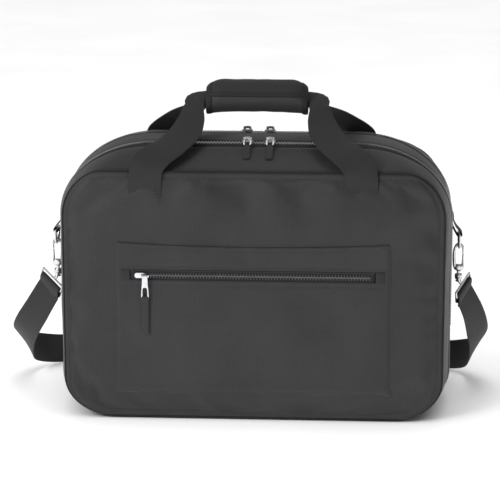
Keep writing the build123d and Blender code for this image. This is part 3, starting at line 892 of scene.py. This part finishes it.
def plate_ring(name, outer, inner, thick, place, material, bevel=0.35 * MM):
    """A flat plate with a hole: outer and inner are lists of (x, y) of equal length."""
    count = len(outer)
    built = bmesh.new()
    layers = []
    for z in (-thick / 2, thick / 2):
        layers.append(([built.verts.new((x, y, z)) for x, y in outer],
                       [built.verts.new((x, y, z)) for x, y in inner]))
    (low_out, low_in), (high_out, high_in) = layers
    for i in range(count):
        j = (i + 1) % count
        built.faces.new((high_out[i], high_out[j], high_in[j], high_in[i]))
        built.faces.new((low_out[j], low_out[i], low_in[i], low_in[j]))
        built.faces.new((low_out[i], low_out[j], high_out[j], high_out[i]))
        built.faces.new((low_in[j], low_in[i], high_in[i], high_in[j]))
    data = bpy.data.meshes.new(name)
    built.to_mesh(data)
    built.free()
    data.transform(place)
    obj = recalc(place_mesh(name, data, material))
    mod = obj.modifiers.new("edge", "BEVEL")
    mod.width = bevel
    mod.segments = 3
    mod.angle_limit = radians(50)
    obj.modifiers.new("flat", "WEIGHTED_NORMAL")
    return obj


# ---- the patch pocket ----------------------------------------------------------------------
POCKET_HALF = POCKET_HIGH.x
POCKET_BOTTOM = POCKET_LOW.z
POCKET_TOP = POCKET_HIGH.z
POCKET_Y = 110.2 * MM
ZIP_Z = (TEETH_LOW.z + TEETH_HIGH.z) / 2
SLOT_HALF = 150 * MM
SLOT_HIGH = 6.4 * MM
POCKET_SAG = 5 * MM


def smooth(t):
    t = max(0.0, min(1.0, t))
    return t * t * (3 - 2 * t)


def hang(x, z):
    """The pocket's top edge hangs between its sewn corners."""
    share = smooth((z - ZIP_Z - 0.016) / (POCKET_TOP - ZIP_Z - 0.016))
    return -POCKET_SAG * share * (1 - min(1.0, abs(x) / POCKET_HALF) ** 2.2)


def pocket_out(x, z):
    """How far the pocket's face stands out."""
    sides = min(POCKET_HALF - abs(x), z - POCKET_BOTTOM)
    top = POCKET_TOP - z
    base = panel_face(x, z) + 1.0 * MM
    full = POCKET_Y + 1.6 * MM * smooth(sides / 0.05) * smooth((ZIP_Z - 0.012 - z) / 0.05)
    below = smooth(sides / 0.02) * smooth((ZIP_Z - z - 0.014) / 0.02)
    full += 0.8 * MM * ripple((x, 0, z), 0.060, 31.0) * below
    above = smooth((z - ZIP_Z - 0.012) / 0.008) * smooth(top / 0.006)
    full += above * 1.3 * MM * ripple((x, 0, z * 0.4), 0.022, 37.0)
    rise = smooth(0.25 + sides / (9 * MM)) * smooth(0.45 + top / (4 * MM))
    out = base + (full - base) * rise
    for d, depth in ((abs(sides - 3.2 * MM), 0.55), (abs(top - 4.5 * MM), 0.45)):
        out -= depth * MM * max(0.0, 1 - d / (1.4 * MM))
    beside = abs(abs(z - ZIP_Z) - 11.5 * MM)
    if abs(x) < SLOT_HALF + 12 * MM:
        out -= 0.5 * MM * max(0.0, 1 - beside / (1.4 * MM))
    return out


def pocket_pieces():
    """The pocket, its zip, rim stitching and end tabs."""
    def lines(low, high, step, extra):
        values = steps(low, high, round((high - low) / step))
        values = [v for v in values if all(abs(v - e) > step * 0.35 for e in extra)]
        return sorted(set(values) | set(extra))
    rim = [0.8 * MM, 1.8 * MM, 3.2 * MM, 4.6 * MM, 7 * MM, 10 * MM]
    xs = lines(-POCKET_HALF, POCKET_HALF, 5 * MM,
               [s * (POCKET_HALF - r) for r in rim + [0] for s in (-1, 1)] + [SLOT_HALF, -SLOT_HALF])
    zs = lines(POCKET_BOTTOM, POCKET_TOP, 4 * MM,
               [POCKET_BOTTOM + r for r in rim + [0]] + [POCKET_TOP - r for r in rim + [0]]
               + [ZIP_Z + s * d for s in (-1, 1) for d in (SLOT_HIGH, 8 * MM, 10 * MM, 11.5 * MM, 13 * MM)])
    verts, uvs = [], []
    for z in zs:
        for x in xs:
            verts.append((x, -pocket_out(x, z), z + hang(x, z)))
            uvs.append((x + 0.4 * MM, z + 0.7 * MM))
    wide = len(xs)
    faces = []
    for k in range(len(zs) - 1):
        for j in range(wide - 1):
            mid_x, mid_z = (xs[j] + xs[j + 1]) / 2, (zs[k] + zs[k + 1]) / 2
            if abs(mid_x) < SLOT_HALF and abs(mid_z - ZIP_Z) < SLOT_HIGH:
                continue
            a = k * wide + j
            faces.append((a, a + 1, a + wide + 1, a + wide))
    cloth = make("pocket_cloth", verts, faces, FABRIC, uvs)
    shell(cloth, 1.3 * MM, -1.0)
    bake(cloth)
    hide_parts("pocket", "pocket_base")
    fold_blend(cloth)

    for sign in (-1, 1):
        z = ZIP_Z + sign * (SLOT_HIGH - 0.2 * MM)
        y = -pocket_out(0, z) + 0.1 * MM
        lip = tube("zip_lip_" + ("low" if sign < 0 else "high"),
                   [(-SLOT_HALF - 1 * MM, y, z), (-0.05, y, z), (0.05, y, z), (SLOT_HALF + 1 * MM, y, z)],
                   [0.9 * MM] * 4, FABRIC, per=20)
        finish_piece(lip, "front_cover")
    low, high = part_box("pocket_zip_tape")

    def backing_spot(k, x):
        z = low.z + (high.z - low.z) * k / 8
        return (x, low.y + 0.3 * MM * sin(pi * k / 8) + 0.1 * MM * ripple((x, 0, z), 0.02, 3.0), z), (x, z)
    backing = surface("pocket_zip_cloth", range(9), steps(low.x, high.x, 60), backing_spot, ZIP_TAPE)
    shell(backing, 0.8 * MM, 1.0)
    finish_piece(backing, "front_cover", ["pocket_zip_tape"])

    pitch = 3.6 * MM
    end = TEETH_HIGH.x - 1.5 * MM
    for sign in (-1, 1):
        places = []
        x = -end + (pitch / 2 if sign > 0 else 0)
        while x < end:
            places.append((Vector((x, TEETH_HIGH.y - 0.1 * MM, ZIP_Z + sign * 3.3 * MM)), Vector((1, 0, 0)),
                           Vector((0, 0, -sign)), Vector((0, -1, 0))))
            x += pitch
        teeth("pocket_teeth_" + ("low" if sign < 0 else "high"), places, 2.1 * MM, 4.3 * MM, 1.6 * MM,
              TEETH_DARK, "front_cover", ["pocket_zip_teeth"])
    for sign in (-1, 1):
        x = sign * (SLOT_HALF + 5 * MM)
        y = -POCKET_Y
        stop = pad_block("zip_stop_" + ("left" if sign < 0 else "right"),
                         (x - 5.5 * MM, y - 1.0 * MM, ZIP_Z - 7.2 * MM),
                         (x + 5.5 * MM, y + 1.0 * MM, ZIP_Z + 7.2 * MM),
                         FABRIC, 0.5, 0.8)
        finish_piece(stop, "front_cover", ["pocket_zip_stops"])


# ---- the grip ------------------------------------------------------------------------------
def grip_radius(x, angle):
    """The wrap's outside: full in the middle, its top rounded down at both ends."""
    share = abs(x) / GRIP_HALF
    top = GRIP_R - 0.3 * MM - 9.5 * MM * max(0.0, (share - 0.66) / 0.34) ** 2.2
    low = GRIP_R - 3.2 * MM + 2.6 * MM * share ** 3
    weight = smooth(0.5 + 0.62 * cos(radians(angle)))
    return low + (top - low) * weight


def on_grip(x, r, a):
    """A point at radius r and angle a round the grip's axis."""
    return (x, -r * sin(a), GRIP_Z + r * cos(a))


BIND_THICK = 0.7 * MM
# the flap's bound edge: degrees round the grip, and mm out from the wrap
FLAP_EDGE = ((66, 0.25), (67, 0.9), (73, 1.15), (80, 0.9), (82.5, 0.2), (82, -1.2), (79, -2.6))
# the binding round the grip's ends, in mm: in from the end, out from the wrap
BIND_PROFILE = ((7.5, 0.0), (7.0, 0.7), (4.0, 1.0), (1.0, 0.8), (-0.2, 0.0), (-0.4, -2.0), (0.4, -4.6),
                (4.0, -5.2))


def grip_skin(name, start, end, half, extra, thick, material, seed, fold=0.6 * MM):
    """Part of the wrap between two angles, as padded cloth."""
    count = max(6, round((end - start) / 4))

    def spot(k, j):
        angle = start + (end - start) * k / count
        x = -half + 2 * half * j / 48
        r = grip_radius(x, angle) + extra
        edge = min(k, count - k) / count
        r -= 0.9 * MM * max(0.0, 1 - edge * count / 1.5)
        r += fold * ripple((x, angle * 0.0004, 0), 0.016, seed)
        return on_grip(x, r, radians(angle)), (x, radians(angle) * GRIP_R)
    obj = shell(surface(name, range(count + 1), range(49), spot, material), thick)
    return recalc_shell(smooth_more(obj))


def recalc_shell(obj):
    """Make an open surface face away from the grip's axis."""
    face = obj.data.polygons[len(obj.data.polygons) // 2]
    centre = face.center
    out = Vector((0, centre.y, centre.z - GRIP_Z))
    if face.normal.dot(out) < 0:
        obj.data.flip_normals()
    return obj


def grip_pieces():
    """Pad and flap of the wrap, their bindings and closing tapes."""
    pad = grip_skin("grip_pad_cloth", 78, 300, GRIP_HALF - 1.5 * MM, -0.2 * MM, 4.4 * MM, GRIP_CLOTH, 41.0)
    finish_piece(pad, "root", ["grip_pad"])
    flap = grip_skin("grip_flap_cloth", -58, 80, GRIP_HALF - 1.5 * MM, 0.0, 3.4 * MM, WEBBING, 43.0)
    finish_piece(flap, "grip_flap", ["grip_flap"])
    for body, start, end, tag in (("root", 80, 299, "pad"), ("grip_flap", -57, 79, "flap")):
        for sign in (-1, 1):
            def bind_spot(angle, station):
                dx, dr = station
                x, a = sign * (GRIP_HALF - dx * MM), radians(angle)
                r = grip_radius(min(abs(x), GRIP_HALF), degrees(a)) + dr * MM
                return on_grip(x, r, a), (dx * MM, a * GRIP_R)
            name = "grip_bind_" + tag + ("_l" if sign < 0 else "_r")
            angles = steps(start, end, round((end - start) / 4))
            bind = shell(surface(name, angles, BIND_PROFILE, bind_spot, BINDING, sign > 0), BIND_THICK)
            finish_piece(smooth_more(bind), body)
    def edge_spot(station, j):
        angle, dr = station
        x = (GRIP_HALF - 1.2 * MM) * (2 * j / 48 - 1)
        a = radians(angle)
        return on_grip(x, grip_radius(x, angle) + dr * MM, a), (x, a * GRIP_R)
    edge = shell(surface("grip_flap_edge", FLAP_EDGE, range(49), edge_spot, BINDING), BIND_THICK)
    finish_piece(smooth_more(recalc_shell(edge)), "grip_flap")
    for name, node, start, end, r0, body in (
        ("grip_hooks", "grip_hook_tape", 35, 60, 17.4 * MM, "grip_flap"),
        ("grip_loops", "grip_loop_tape", 81, 104, 17.0 * MM, "root"),
    ):
        def tape_spot(angle, j):
            x, a = 57 * MM * (2 * j / 80 - 1), radians(angle)
            r = r0 - 0.5 * MM + 0.25 * MM * ripple((x, a * 0.02, 0), 0.0016, 5.0)
            return on_grip(x, r, a), (x, a * GRIP_R)
        strip = shell(surface(name, steps(start, end, 8), range(81), tape_spot, CLOSURE), 0.9 * MM, 0.0)
        finish_piece(strip, body, [node])


# ---- sliders, pullers and tabs -----------------------------------------------------------------
def oval(half_x, y0, y1, count=24, square=2.0):
    """A rounded outline between y0 and y1."""
    mid, half = (y0 + y1) / 2, abs(y1 - y0) / 2
    points = []
    for i in range(count):
        a = 2 * pi * i / count
        c, s = cos(a), sin(a)
        points.append((half_x * abs(c) ** (2 / square) * (1 if c >= 0 else -1),
                       mid + half * abs(s) ** (2 / square) * (1 if s >= 0 else -1)))
    return points


def folded_tab(name, place, start, length, width, body, node, curl):
    """A loop of webbing through a puller's eye, its two layers sewn together."""
    def at(y, z):
        return place @ Vector((0, y, z))
    across = (place.to_3x3() @ Vector((1, 0, 0))).normalized()
    reach = start + length
    route = [(-(start - 3.6 * MM), 0.0), (-(start - 2.8 * MM), 1.3 * MM), (-(start - 0.4 * MM), 1.45 * MM),
             (-(start + 5 * MM), 0.75 * MM), (-(start + length * 0.5), 0.7 * MM + curl * 0.3),
             (-reach + 0.6 * MM, 0.65 * MM + curl), (-reach - 0.1 * MM, curl),
             (-reach + 0.6 * MM, -0.65 * MM + curl),
             (-(start + length * 0.5), -0.7 * MM + curl * 0.3), (-(start + 5 * MM), -0.75 * MM),
             (-(start - 0.4 * MM), -1.4 * MM), (-(start - 2.8 * MM), -1.3 * MM),
             (-(start - 3.6 * MM), -0.1 * MM)]
    stations = [(at(y, z), across, width, 1.1 * MM) for y, z in route]
    obj, _ = ribbon(name, stations, TAB_CLOTH, 5)
    finish_piece(obj, body, [node])


def top_pulls():
    """Pullers and tabs of the two compartment zips."""
    pin_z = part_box("zip1_left_slider")[1].z - 0.9 * MM
    lean = radians(22.6 + 5)
    for zip_name, sign in (("zip1", 1), ("zip2", -1)):
        for side in ("left", "right"):
            name = zip_name + "_" + side
            low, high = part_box(name + "_puller")
            x = (low.x + high.x) / 2
            place = Matrix.Translation((x, -sign * ZIP_Y, pin_z))
            if sign < 0:
                place = place @ Matrix.Rotation(pi, 4, "Z")
            place = place @ Matrix.Rotation(lean, 4, "X")
            ring = plate_ring(name + "_ring", oval(5.3 * MM, 2.6 * MM, -19 * MM, 32, 2.3),
                              oval(3.0 * MM, -3.2 * MM, -16.2 * MM, 32, 2.3), 1.7 * MM, place, NICKEL)
            knuckle = tube(name + "_knuckle", [place @ Vector((k * MM, 0, 0)) for k in (-3.1, -1, 1, 3.1)],
                           [1.5 * MM] * 4, NICKEL, per=3)
            finish_piece(ring, name + "_puller", [name + "_puller"])
            finish_piece(knuckle, name + "_puller")
            folded_tab(name + "_fabric", place, 18.5 * MM, 23 * MM, 8.6 * MM, name + "_puller", name + "_tab",
                       0.8 * MM)


def pocket_pull():
    """The pocket zip's puller and its long tab."""
    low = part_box("pocket_slider")[0]
    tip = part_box("pocket_puller")
    x = (tip[0].x + tip[1].x) / 2
    place = Matrix.Translation((x, low.y + 0.9 * MM, ZIP_Z)) @ Matrix.Rotation(radians(90 + 1.2), 4, "X")
    outer = [(-2.9, 1.8), (2.9, 1.8), (3.3, -2), (3.5, -8), (4.2, -16), (4.6, -23), (4.6, -27), (3.6, -28.4),
             (0, -28.8), (-3.6, -28.4), (-4.6, -27), (-4.6, -23), (-4.2, -16), (-3.5, -8), (-3.3, -2)]
    inner = [(-1.3, -14.6), (1.3, -14.6), (2.2, -15.4), (2.8, -17.0), (2.9, -19), (2.9, -22), (2.9, -25.2),
             (2.2, -25.9), (0, -26.0), (-2.2, -25.9), (-2.9, -25.2), (-2.9, -22), (-2.9, -19), (-2.8, -17.0),
             (-2.2, -15.4)]
    blade = plate_ring("pocket_blade", [(a * MM, b * MM) for a, b in outer],
                       [(a * MM, b * MM) for a, b in inner],
                       1.7 * MM, place, NICKEL, 0.45 * MM)
    finish_piece(blade, "pocket_puller", ["pocket_puller"])
    knuckle = tube("pocket_knuckle", [place @ Vector((k * MM, 0, 0)) for k in (-3.1, -1, 1, 3.1)],
                   [1.6 * MM] * 4, NICKEL, per=3)
    finish_piece(knuckle, "pocket_puller")
    folded_tab("pocket_tab_fabric", place, 29.2 * MM, 43 * MM, 8.4 * MM, "pocket_tab", "pocket_tab", 0.4 * MM)


# ---- side hardware ---------------------------------------------------------------------------------
RING_X = 254 * MM
STRAP = 38 * MM
STRAP_THICK = 2 * MM
RUN_Y = 146 * MM
RUN_Z = 19.3 * MM
ADJUSTER_X = 60 * MM
# the strap from its bail to the run behind the bag, in mm: (outwards, back, up) of its
# centre, and the way its width points
LEFT_STRAP = [
    ((262, 0, 151), (0.66, 0.60, 0.45)),
    ((268.5, 7, 134.5), (0.68, 0.50, 0.53)),
    ((286, 19, 105), (0.81, 0.49, 0.30)),
    ((301, 35, 80), (0.82, 0.42, 0.38)),
    ((309, 56, 60), (0.72, 0.27, 0.63)),
    ((309, 84, 42), (0.50, 0.05, 0.86)),
    ((298, 110, 30), (0.28, 0.0, 0.96)),
    ((280, 132, 22), (0.1, 0.0, 0.99)),
    ((254, 144, 19.3), (0, 0, 1)),
    ((220, 146, 19.3), (0, 0, 1)),
]
RIGHT_STRAP = [
    ((260, 0, 151), (0.43, 0.77, 0.46)),
    ((263, 8, 136), (0.48, 0.79, 0.37)),
    ((273, 20, 113), (0.58, 0.79, 0.20)),
    ((280, 37, 89), (0.64, 0.74, 0.20)),
    ((284, 58, 66), (0.62, 0.60, 0.50)),
    ((281, 85, 44), (0.47, 0.35, 0.81)),
    ((270, 112, 30), (0.25, 0.12, 0.96)),
    ((252, 133, 21.5), (0.1, 0.0, 0.99)),
    ((228, 144, 19.3), (0, 0, 1)),
    ((200, 146, 19.3), (0, 0, 1)),
]


def strap_route(side):
    """The strap's stations, with the bail's across, up and inward directions."""
    stations = [(Vector((side * x, y, z)) * MM, Vector((side * a, b, c)).normalized(), STRAP, STRAP_THICK)
                for (x, y, z), (a, b, c) in (LEFT_STRAP if side < 0 else RIGHT_STRAP)]
    across = stations[0][1]
    along = stations[0][0] - stations[1][0]
    up = (along - across * along.dot(across)).normalized()
    return stations, across, up, up.cross(across) * side


def side_hardware():
    for side, tag in ((-1, "left"), (1, "right")):
        def out(dx, z, y=0.0):
            return Vector((side * (RING_X + dx * MM), y, z * MM))
        route = [(-8.2, 243), (-7.8, 236), (-4.6, 228.5), (0.5, 222.6), (3.0, 218.3), (0.2, 215.2),
                 (-3.0, 217.2), (-6.4, 223), (-9.0, 230), (-9.8, 241)]
        stations = [(out(dx, z), Vector((0, 1, 0)), 25 * MM, 1.3 * MM) for dx, z in route]
        obj, _ = ribbon("side_loop_" + tag, stations, STRAP_WEB, 6)
        finish_piece(obj, "root", ["side_tab_" + tag])

        claw = [(-5.0, 175), (-5.6, 182), (-5.9, 190), (-5.4, 197), (-3.4, 202.6), (0.2, 204.6), (3.6, 202.4),
                (5.3, 198), (5.3, 192.6)]
        radii = [2.3, 2.3, 2.1, 1.9, 1.7, 1.6, 1.6, 1.5, 1.3]
        hook = tube("hook_claw_" + tag, [out(dx, z) for dx, z in claw], [r * MM for r in radii], NICKEL,
                    flat=1.25)
        finish_piece(hook, "hook_" + tag, ["hook_" + tag])
        base = tube("hook_base_" + tag, [out(0, z) for z in (178.2, 177.0, 174.5, 171.5, 169.0, 163, 158.5)],
                    [r * MM for r in (4.2, 6.2, 6.6, 5.6, 2.4, 2.4, 2.4)], NICKEL, flat=0.55, around=20)
        finish_piece(base, "hook_" + tag)
        button = tube("hook_button_" + tag, [out(0, z) for z in (157.8, 157.2, 156.2, 155.6)],
                      [r * MM for r in (3.0, 3.7, 3.7, 2.2)], NICKEL, per=3)
        finish_piece(button, "hook_" + tag)
        gate = tube("hook_lever_" + tag, [out(5.2, z) for z in (178.1, 182, 188, 191.4)],
                    [r * MM for r in (1.9, 1.6, 1.4, 1.2)], NICKEL)
        finish_piece(gate, "hook_gate_" + tag, ["hook_gate_" + tag])

        stations, level, turned, inwards = strap_route(side)
        middle = stations[0][0]
        half, low, high = 21 * MM, -4.2 * MM, 4.2 * MM
        loop = [(-half + 3 * MM, low), (0, low), (half - 3 * MM, low), (half - 0.6 * MM, low + 0.8 * MM),
                (half, 0),
                (half - 0.6 * MM, high - 0.8 * MM), (half - 3 * MM, high), (0, high), (-half + 3 * MM, high),
                (-half + 0.6 * MM, high - 0.8 * MM), (-half, 0), (-half + 0.6 * MM, low + 0.8 * MM)]
        frame_bar = tube("bail_loop_" + tag, [middle + level * a + turned * b for a, b in loop],
                         [1.35 * MM] * len(loop), NICKEL, closed=True, per=5)
        finish_piece(frame_bar, "d_ring_" + tag, ["bail_" + tag])
        barrel = tube("bail_barrel_" + tag, [out(0, z) for z in (166.4, 165.8, 162.5, 159.4, 158.9)],
                      [r * MM for r in (3.4, 4.5, 4.9, 4.4, 3.4)], NICKEL)
        finish_piece(barrel, "d_ring_" + tag)
        for y in (-4.2 * MM, 4.2 * MM):
            cheek = tube("bail_cheek_" + tag + ("_f" if y < 0 else "_r"),
                         [out(0, 162, y), out(0.6, 158, y), out(2.2, 154.5, y * 0.8),
                          middle - level * 2 * MM + turned * high + inwards * (y * 0.3)],
                         [1.7 * MM, 1.7 * MM, 1.6 * MM, 1.4 * MM], NICKEL)
            finish_piece(cheek, "d_ring_" + tag)


# ---- the shoulder strap -------------------------------------------------------------------------------
def strap_pieces():
    for side, tag in ((-1, "left"), (1, "right")):
        route, across, up, inwards = strap_route(side)
        bar = route[0][0] - up * 4.2 * MM
        wrap = [(0.6, -16.5), (0.0, -12.0), (-1.4, -7.0), (-2.3, -3.0), (-2.3, -0.2), (-1.4, 2.0), (0.2, 2.6),
                (1.7, 1.6), (2.4, -1.0), (2.7, -5.0), (3.0, -9.0)]
        path = [(bar + up * (lift * MM) + inwards * (off * MM), across, STRAP, STRAP_THICK)
                for off, lift in wrap]
        rows = [(centre - inwards * 1.2 * MM, -inwards) for centre, _, _, _ in path[:3]]
        edge = across * (STRAP * 0.42)
        lines = [[(point + edge * sign, facing) for point, facing in rows] for sign in (-1, 1)]
        for point, facing in (rows[0], rows[2]):
            point = point + up * 0.8 * MM
            lines.append([(point - edge, facing), (point, facing), (point + edge, facing)])
        stitches("strap_stitch_" + tag, lines, "d_ring_" + tag)
        path += route[1:]
        x = path[-1][0].x
        for k in range(1, 7):
            step = x + (ADJUSTER_X - x) * k / 6
            path.append((Vector((step, RUN_Y, RUN_Z)), Vector((0, 0, -1)), STRAP, STRAP_THICK))
        for i in range(1, len(path)):
            if Vector(path[i][1]).dot(Vector(path[i - 1][1])) < 0:
                path[i] = (path[i][0], -Vector(path[i][1]), *path[i][2:])
        obj, _ = ribbon("strap_" + tag, path, STRAP_WEB, 8, 0.0, 0.3 * MM)
        nodes = ["strap_end_" + tag] + (["shoulder_strap"] if side < 0 else [])
        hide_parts(*nodes)
        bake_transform(obj)
    low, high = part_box("strap_adjuster")
    half_bar, half_rail = 1.4 * MM, 1.8 * MM
    front, back = (low.y + high.y) / 2 - 1.9 * MM, (low.y + high.y) / 2 + 1.9 * MM
    spans = [((x - half_bar, low.z), (x + half_bar, high.z))
             for x in (low.x + half_bar, ADJUSTER_X, high.x - half_bar)]
    spans += [((low.x, z - half_rail), (high.x, z + half_rail))
              for z in (low.z + half_rail, high.z - half_rail)]
    bars = [pad_block("bar", (a[0], front, a[1]), (b[0], back, b[1]), PLASTIC, 0.0, 0.7, 6) for a, b in spans]
    slide = join("adjuster", bars)
    finish_piece(slide, "root", ["strap_adjuster"])


# ---- inside ------------------------------------------------------------------------------------------------
def inner_pad(name, y, out, inset, low_z, body, nodes, material, thick, crown, quilt):
    """A padded inner panel that follows the bag's outline, quilted in squares."""
    _, top, bottom, _, _ = size_at(PANEL_Y, inset)
    low_z = max(low_z, bottom)
    rows, uvs = [], []
    high, wide = 48, 72
    for k in range(high + 1):
        z = low_z + (top - low_z) * k / high
        reach = max(0.01, half_width_at(z + inset * 0.6, PANEL_Y) - inset)
        row = []
        for j in range(wide + 1):
            x = reach * (2 * j / wide - 1)
            d = min(reach - abs(x), top - z, z - low_z)
            rise = crown * min(1.0, d / 0.02)
            if quilt:
                u, w = (x + z) / 0.075, (x - z) / 0.075
                line = min(abs(u - round(u)), abs(w - round(w)))
                rise -= 1.0 * MM * max(0.0, 1 - line / 0.05) * min(1.0, d / 0.01)
            row.append((x, y + out * rise, z))
            uvs.append((x, z))
        rows.append(row)
    obj = shell(woven_sheet(name, rows, uvs, material, out > 0), thick)
    finish_piece(obj, body, nodes)
    return obj


def inside():
    """Linings, divider and base board, seen when the cover is open."""
    inner_pad("front_lining_cloth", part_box("front_lining")[1].y, 1, 7 * MM, FOLD_Z + 1 * MM, "front_cover",
              ["front_lining", "front_foam"], LINING, 4.0 * MM, 1.0 * MM, True)
    inner_pad("rear_lining_cloth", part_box("rear_lining")[0].y, -1, 7 * MM, 9 * MM, "root",
              ["rear_lining", "rear_foam"], LINING, 4.0 * MM, 1.0 * MM, True)
    low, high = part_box("divider")

    def wall_spot(z, j):
        reach = min(high.x, half_width_at(min(z + 5.4 * MM, TOP_Z - 0.1 * MM), 0.0) - 5.6 * MM)
        x = reach * (2 * j / 72 - 1)
        d = min(reach - abs(x), high.z - z)
        y = (low.y + 0.8 * MM - 0.7 * MM * min(1.0, d / 0.015)
             + 0.5 * MM * ripple((x, 0, z), 0.07, 51.0) * min(1.0, d / 0.03))
        return (x, y, z), (x, z)
    wall = surface("divider_cloth", steps(low.z, high.z, 48), range(73), wall_spot, LINING)
    shell(wall, 4.0 * MM)
    finish_piece(wall, "root", ["divider"])
    low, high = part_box("base_board")
    board = pad_block("base_board_cover", low, high, LINING, 0.0, 0.8, 12)
    finish_piece(board, "root", ["base_board"])


# ---- sewing ------------------------------------------------------------------------------------------------
def on_panel(points, out=-1, lift=0.15 * MM):
    """Lay a line of (x, z) on a panel."""
    line = []
    for x, z in points:
        line.append((Vector((x, out * (panel_surface(x, z) + lift), z)), Vector((0, out, 0))))
    return line


def panel_surface(x, z):
    return PANEL_Y + PANEL_GAP + padding(edge_distance(x, z, PANEL_Y), PANEL_CROWN)


def stitch_line(a, b, step=4 * MM):
    """Evenly spaced points from a to b."""
    a, b = Vector(a), Vector(b)
    count = max(2, ceil((b - a).length / step))
    return [tuple(a.lerp(b, i / count)) for i in range(count + 1)]


def sewing():
    """Topstitching round both panels, on the pocket and on the handles' legs."""
    inset = 8.5 * MM
    ring = [(x - nx * inset, z - nz * inset) for x, z, nx, nz in loop_at(PANEL_Y)]
    ring.append(ring[0])
    obj = stitches("front_topstitch", [on_panel(ring, -1)], None)
    fold_blend(obj)
    stitches("rear_topstitch", [on_panel(ring, 1)], "root")

    lines = []
    def pocket_line(points):
        line = []
        for x, z in points:
            line.append((Vector((x, -pocket_out(x, z) - 0.15 * MM, z + hang(x, z))), Vector((0, -1, 0))))
        lines.append(line)
    e = 3.2 * MM
    x0, x1, z0, z1 = -POCKET_HALF + e, POCKET_HALF - e, POCKET_BOTTOM + e, POCKET_TOP - 4.5 * MM
    for a, b in (((x0, z1), (x0, z0)), ((x0, z0), (x1, z0)), ((x1, z0), (x1, z1)), ((x0, z1), (x1, z1))):
        pocket_line(stitch_line(a, b))
    for s in (-1, 1):
        z = ZIP_Z + s * 11.5 * MM
        pocket_line(stitch_line((-SLOT_HALF - 10 * MM, z), (SLOT_HALF + 10 * MM, z)))
        x = s * (SLOT_HALF + 11 * MM)
        pocket_line(stitch_line((x, ZIP_Z - 11.5 * MM), (x, ZIP_Z + 11.5 * MM)))
    obj = stitches("pocket_stitch", lines, None)
    fold_blend(obj)

    for out, name, body in ((-1, "front", "front_cover"), (1, "rear", "root")):
        lines = []
        for s in (-1, 1):
            a, b = LEG_X - WEB / 2 + 2.2 * MM, LEG_X + WEB / 2 - 2.2 * MM
            low, mid, high = 229 * MM, 252 * MM, 288 * MM
            under = mid - 14 * MM
            for p, q in (((a, low), (a, high)), ((b, low), (b, high)), ((a, high), (b, high)),
                         ((a, mid), (b, mid)), ((a, under), (b, mid)), ((b, under), (a, mid)),
                         ((a, under), (b, under))):
                line = []
                for x, z in stitch_line(p, q, 3 * MM):
                    face = panel_face(LEG_X, z) + 0.8 * MM + WEB_THICK / 2
                    line.append((Vector((s * x, out * (face + 0.1 * MM), z)), Vector((0, out, 0))))
                lines.append(line)
        stitches(name + "_leg_stitch", lines, body)


# ---- light, floor and camera --------------------------------------------------------------
WORLD_LIGHT = 0.30
FLOOR_HALF = 6.0


def studio():
    scene = bpy.context.scene
    scene.view_settings.view_transform = "Standard"
    world = bpy.data.worlds.new("studio")
    scene.world = world
    world.use_nodes = True
    world.node_tree.nodes["Background"].inputs[0].default_value = (1, 1, 1, 1)
    world.node_tree.nodes["Background"].inputs[1].default_value = WORLD_LIGHT
    corners = [(FLOOR_HALF * x, FLOOR_HALF * y, 0) for x, y in ((-1, -1), (1, -1), (1, 1), (-1, 1))]
    paper = plain("paper_floor", (0.86, 0.86, 0.86), (0.9, 0.9, 0.9), 0.8, 3.0)
    floor = make("floor", corners, [(0, 1, 2, 3)], paper)
    sun = bpy.data.lights.new("floor_light", "SUN")
    sun.energy = 2.6
    sun.angle = radians(80)
    lamp = bpy.data.objects.new("floor_light", sun)
    lamp.rotation_euler = Vector((0.1, 0.3, -1.0)).to_track_quat("-Z", "Y").to_euler()
    scene.collection.objects.link(lamp)
    only_floor = bpy.data.collections.new("lit_by_floor_light")
    only_floor.objects.link(floor)
    lamp.light_linking.receiver_collection = only_floor
    for name, place, size, power in (
        ("key", (-1.7, -2.0, 1.6), 1.0, 38),
        ("top", (0.1, 0.5, 2.2), 1.2, 6),
    ):
        light = bpy.data.lights.new(name, "AREA")
        light.size = size
        light.energy = power
        lamp = bpy.data.objects.new(name, light)
        lamp.location = place
        aim = Vector((0, 0, 0.2)) - Vector(place)
        lamp.rotation_euler = aim.to_track_quat("-Z", "Y").to_euler()
        scene.collection.objects.link(lamp)


def camera():
    azimuth, elevation, distance = radians(3.2), radians(13.4), 2.718
    target = Vector((-0.0092, 0, 0.193))
    back = Vector((sin(azimuth) * cos(elevation), -cos(azimuth) * cos(elevation), sin(elevation)))
    data = bpy.data.cameras.new("camera")
    data.lens = 154.8
    data.clip_start = 0.05
    data.clip_end = 50
    cam = bpy.data.objects.new("camera", data)
    cam.location = target + back * distance
    cam.rotation_mode = "QUATERNION"
    cam.rotation_quaternion = (-back).to_track_quat("-Z", "Y")
    bpy.context.scene.collection.objects.link(cam)
    bpy.context.scene.camera = cam


def paint_frame():
    """Materials for the CAD nodes that stay in view."""
    by_slot = {
        "fabric": FABRIC, "foam": FOAM, "lining": LINING, "board": BOARD, "closure_tape": CLOSURE,
        "grip_fabric": GRIP_CLOTH, "handle_webbing": WEBBING, "strap_webbing": STRAP_WEB,
        "adjuster_plastic": PLASTIC, "zip_teeth": TEETH_BRIGHT, "pocket_zip_teeth": TEETH_DARK,
        "zip_tape": ZIP_TAPE, "plated_metal": NICKEL, "pull_tab_fabric": TAB_CLOTH,
    }
    slots = {s["node"]: s["material_slot"] for s in frame["record"]["subparts"]}
    for node, obj in frame["nodes"].items():
        material = by_slot[slots[node]]
        obj.data.materials.clear()
        obj.data.materials.append(material)


camera()
studio()
paint_frame()
shell_pieces()
main_zips()
handles()
pocket_pieces()
grip_pieces()
top_pulls()
pocket_pull()
side_hardware()
strap_pieces()
inside()
sewing()
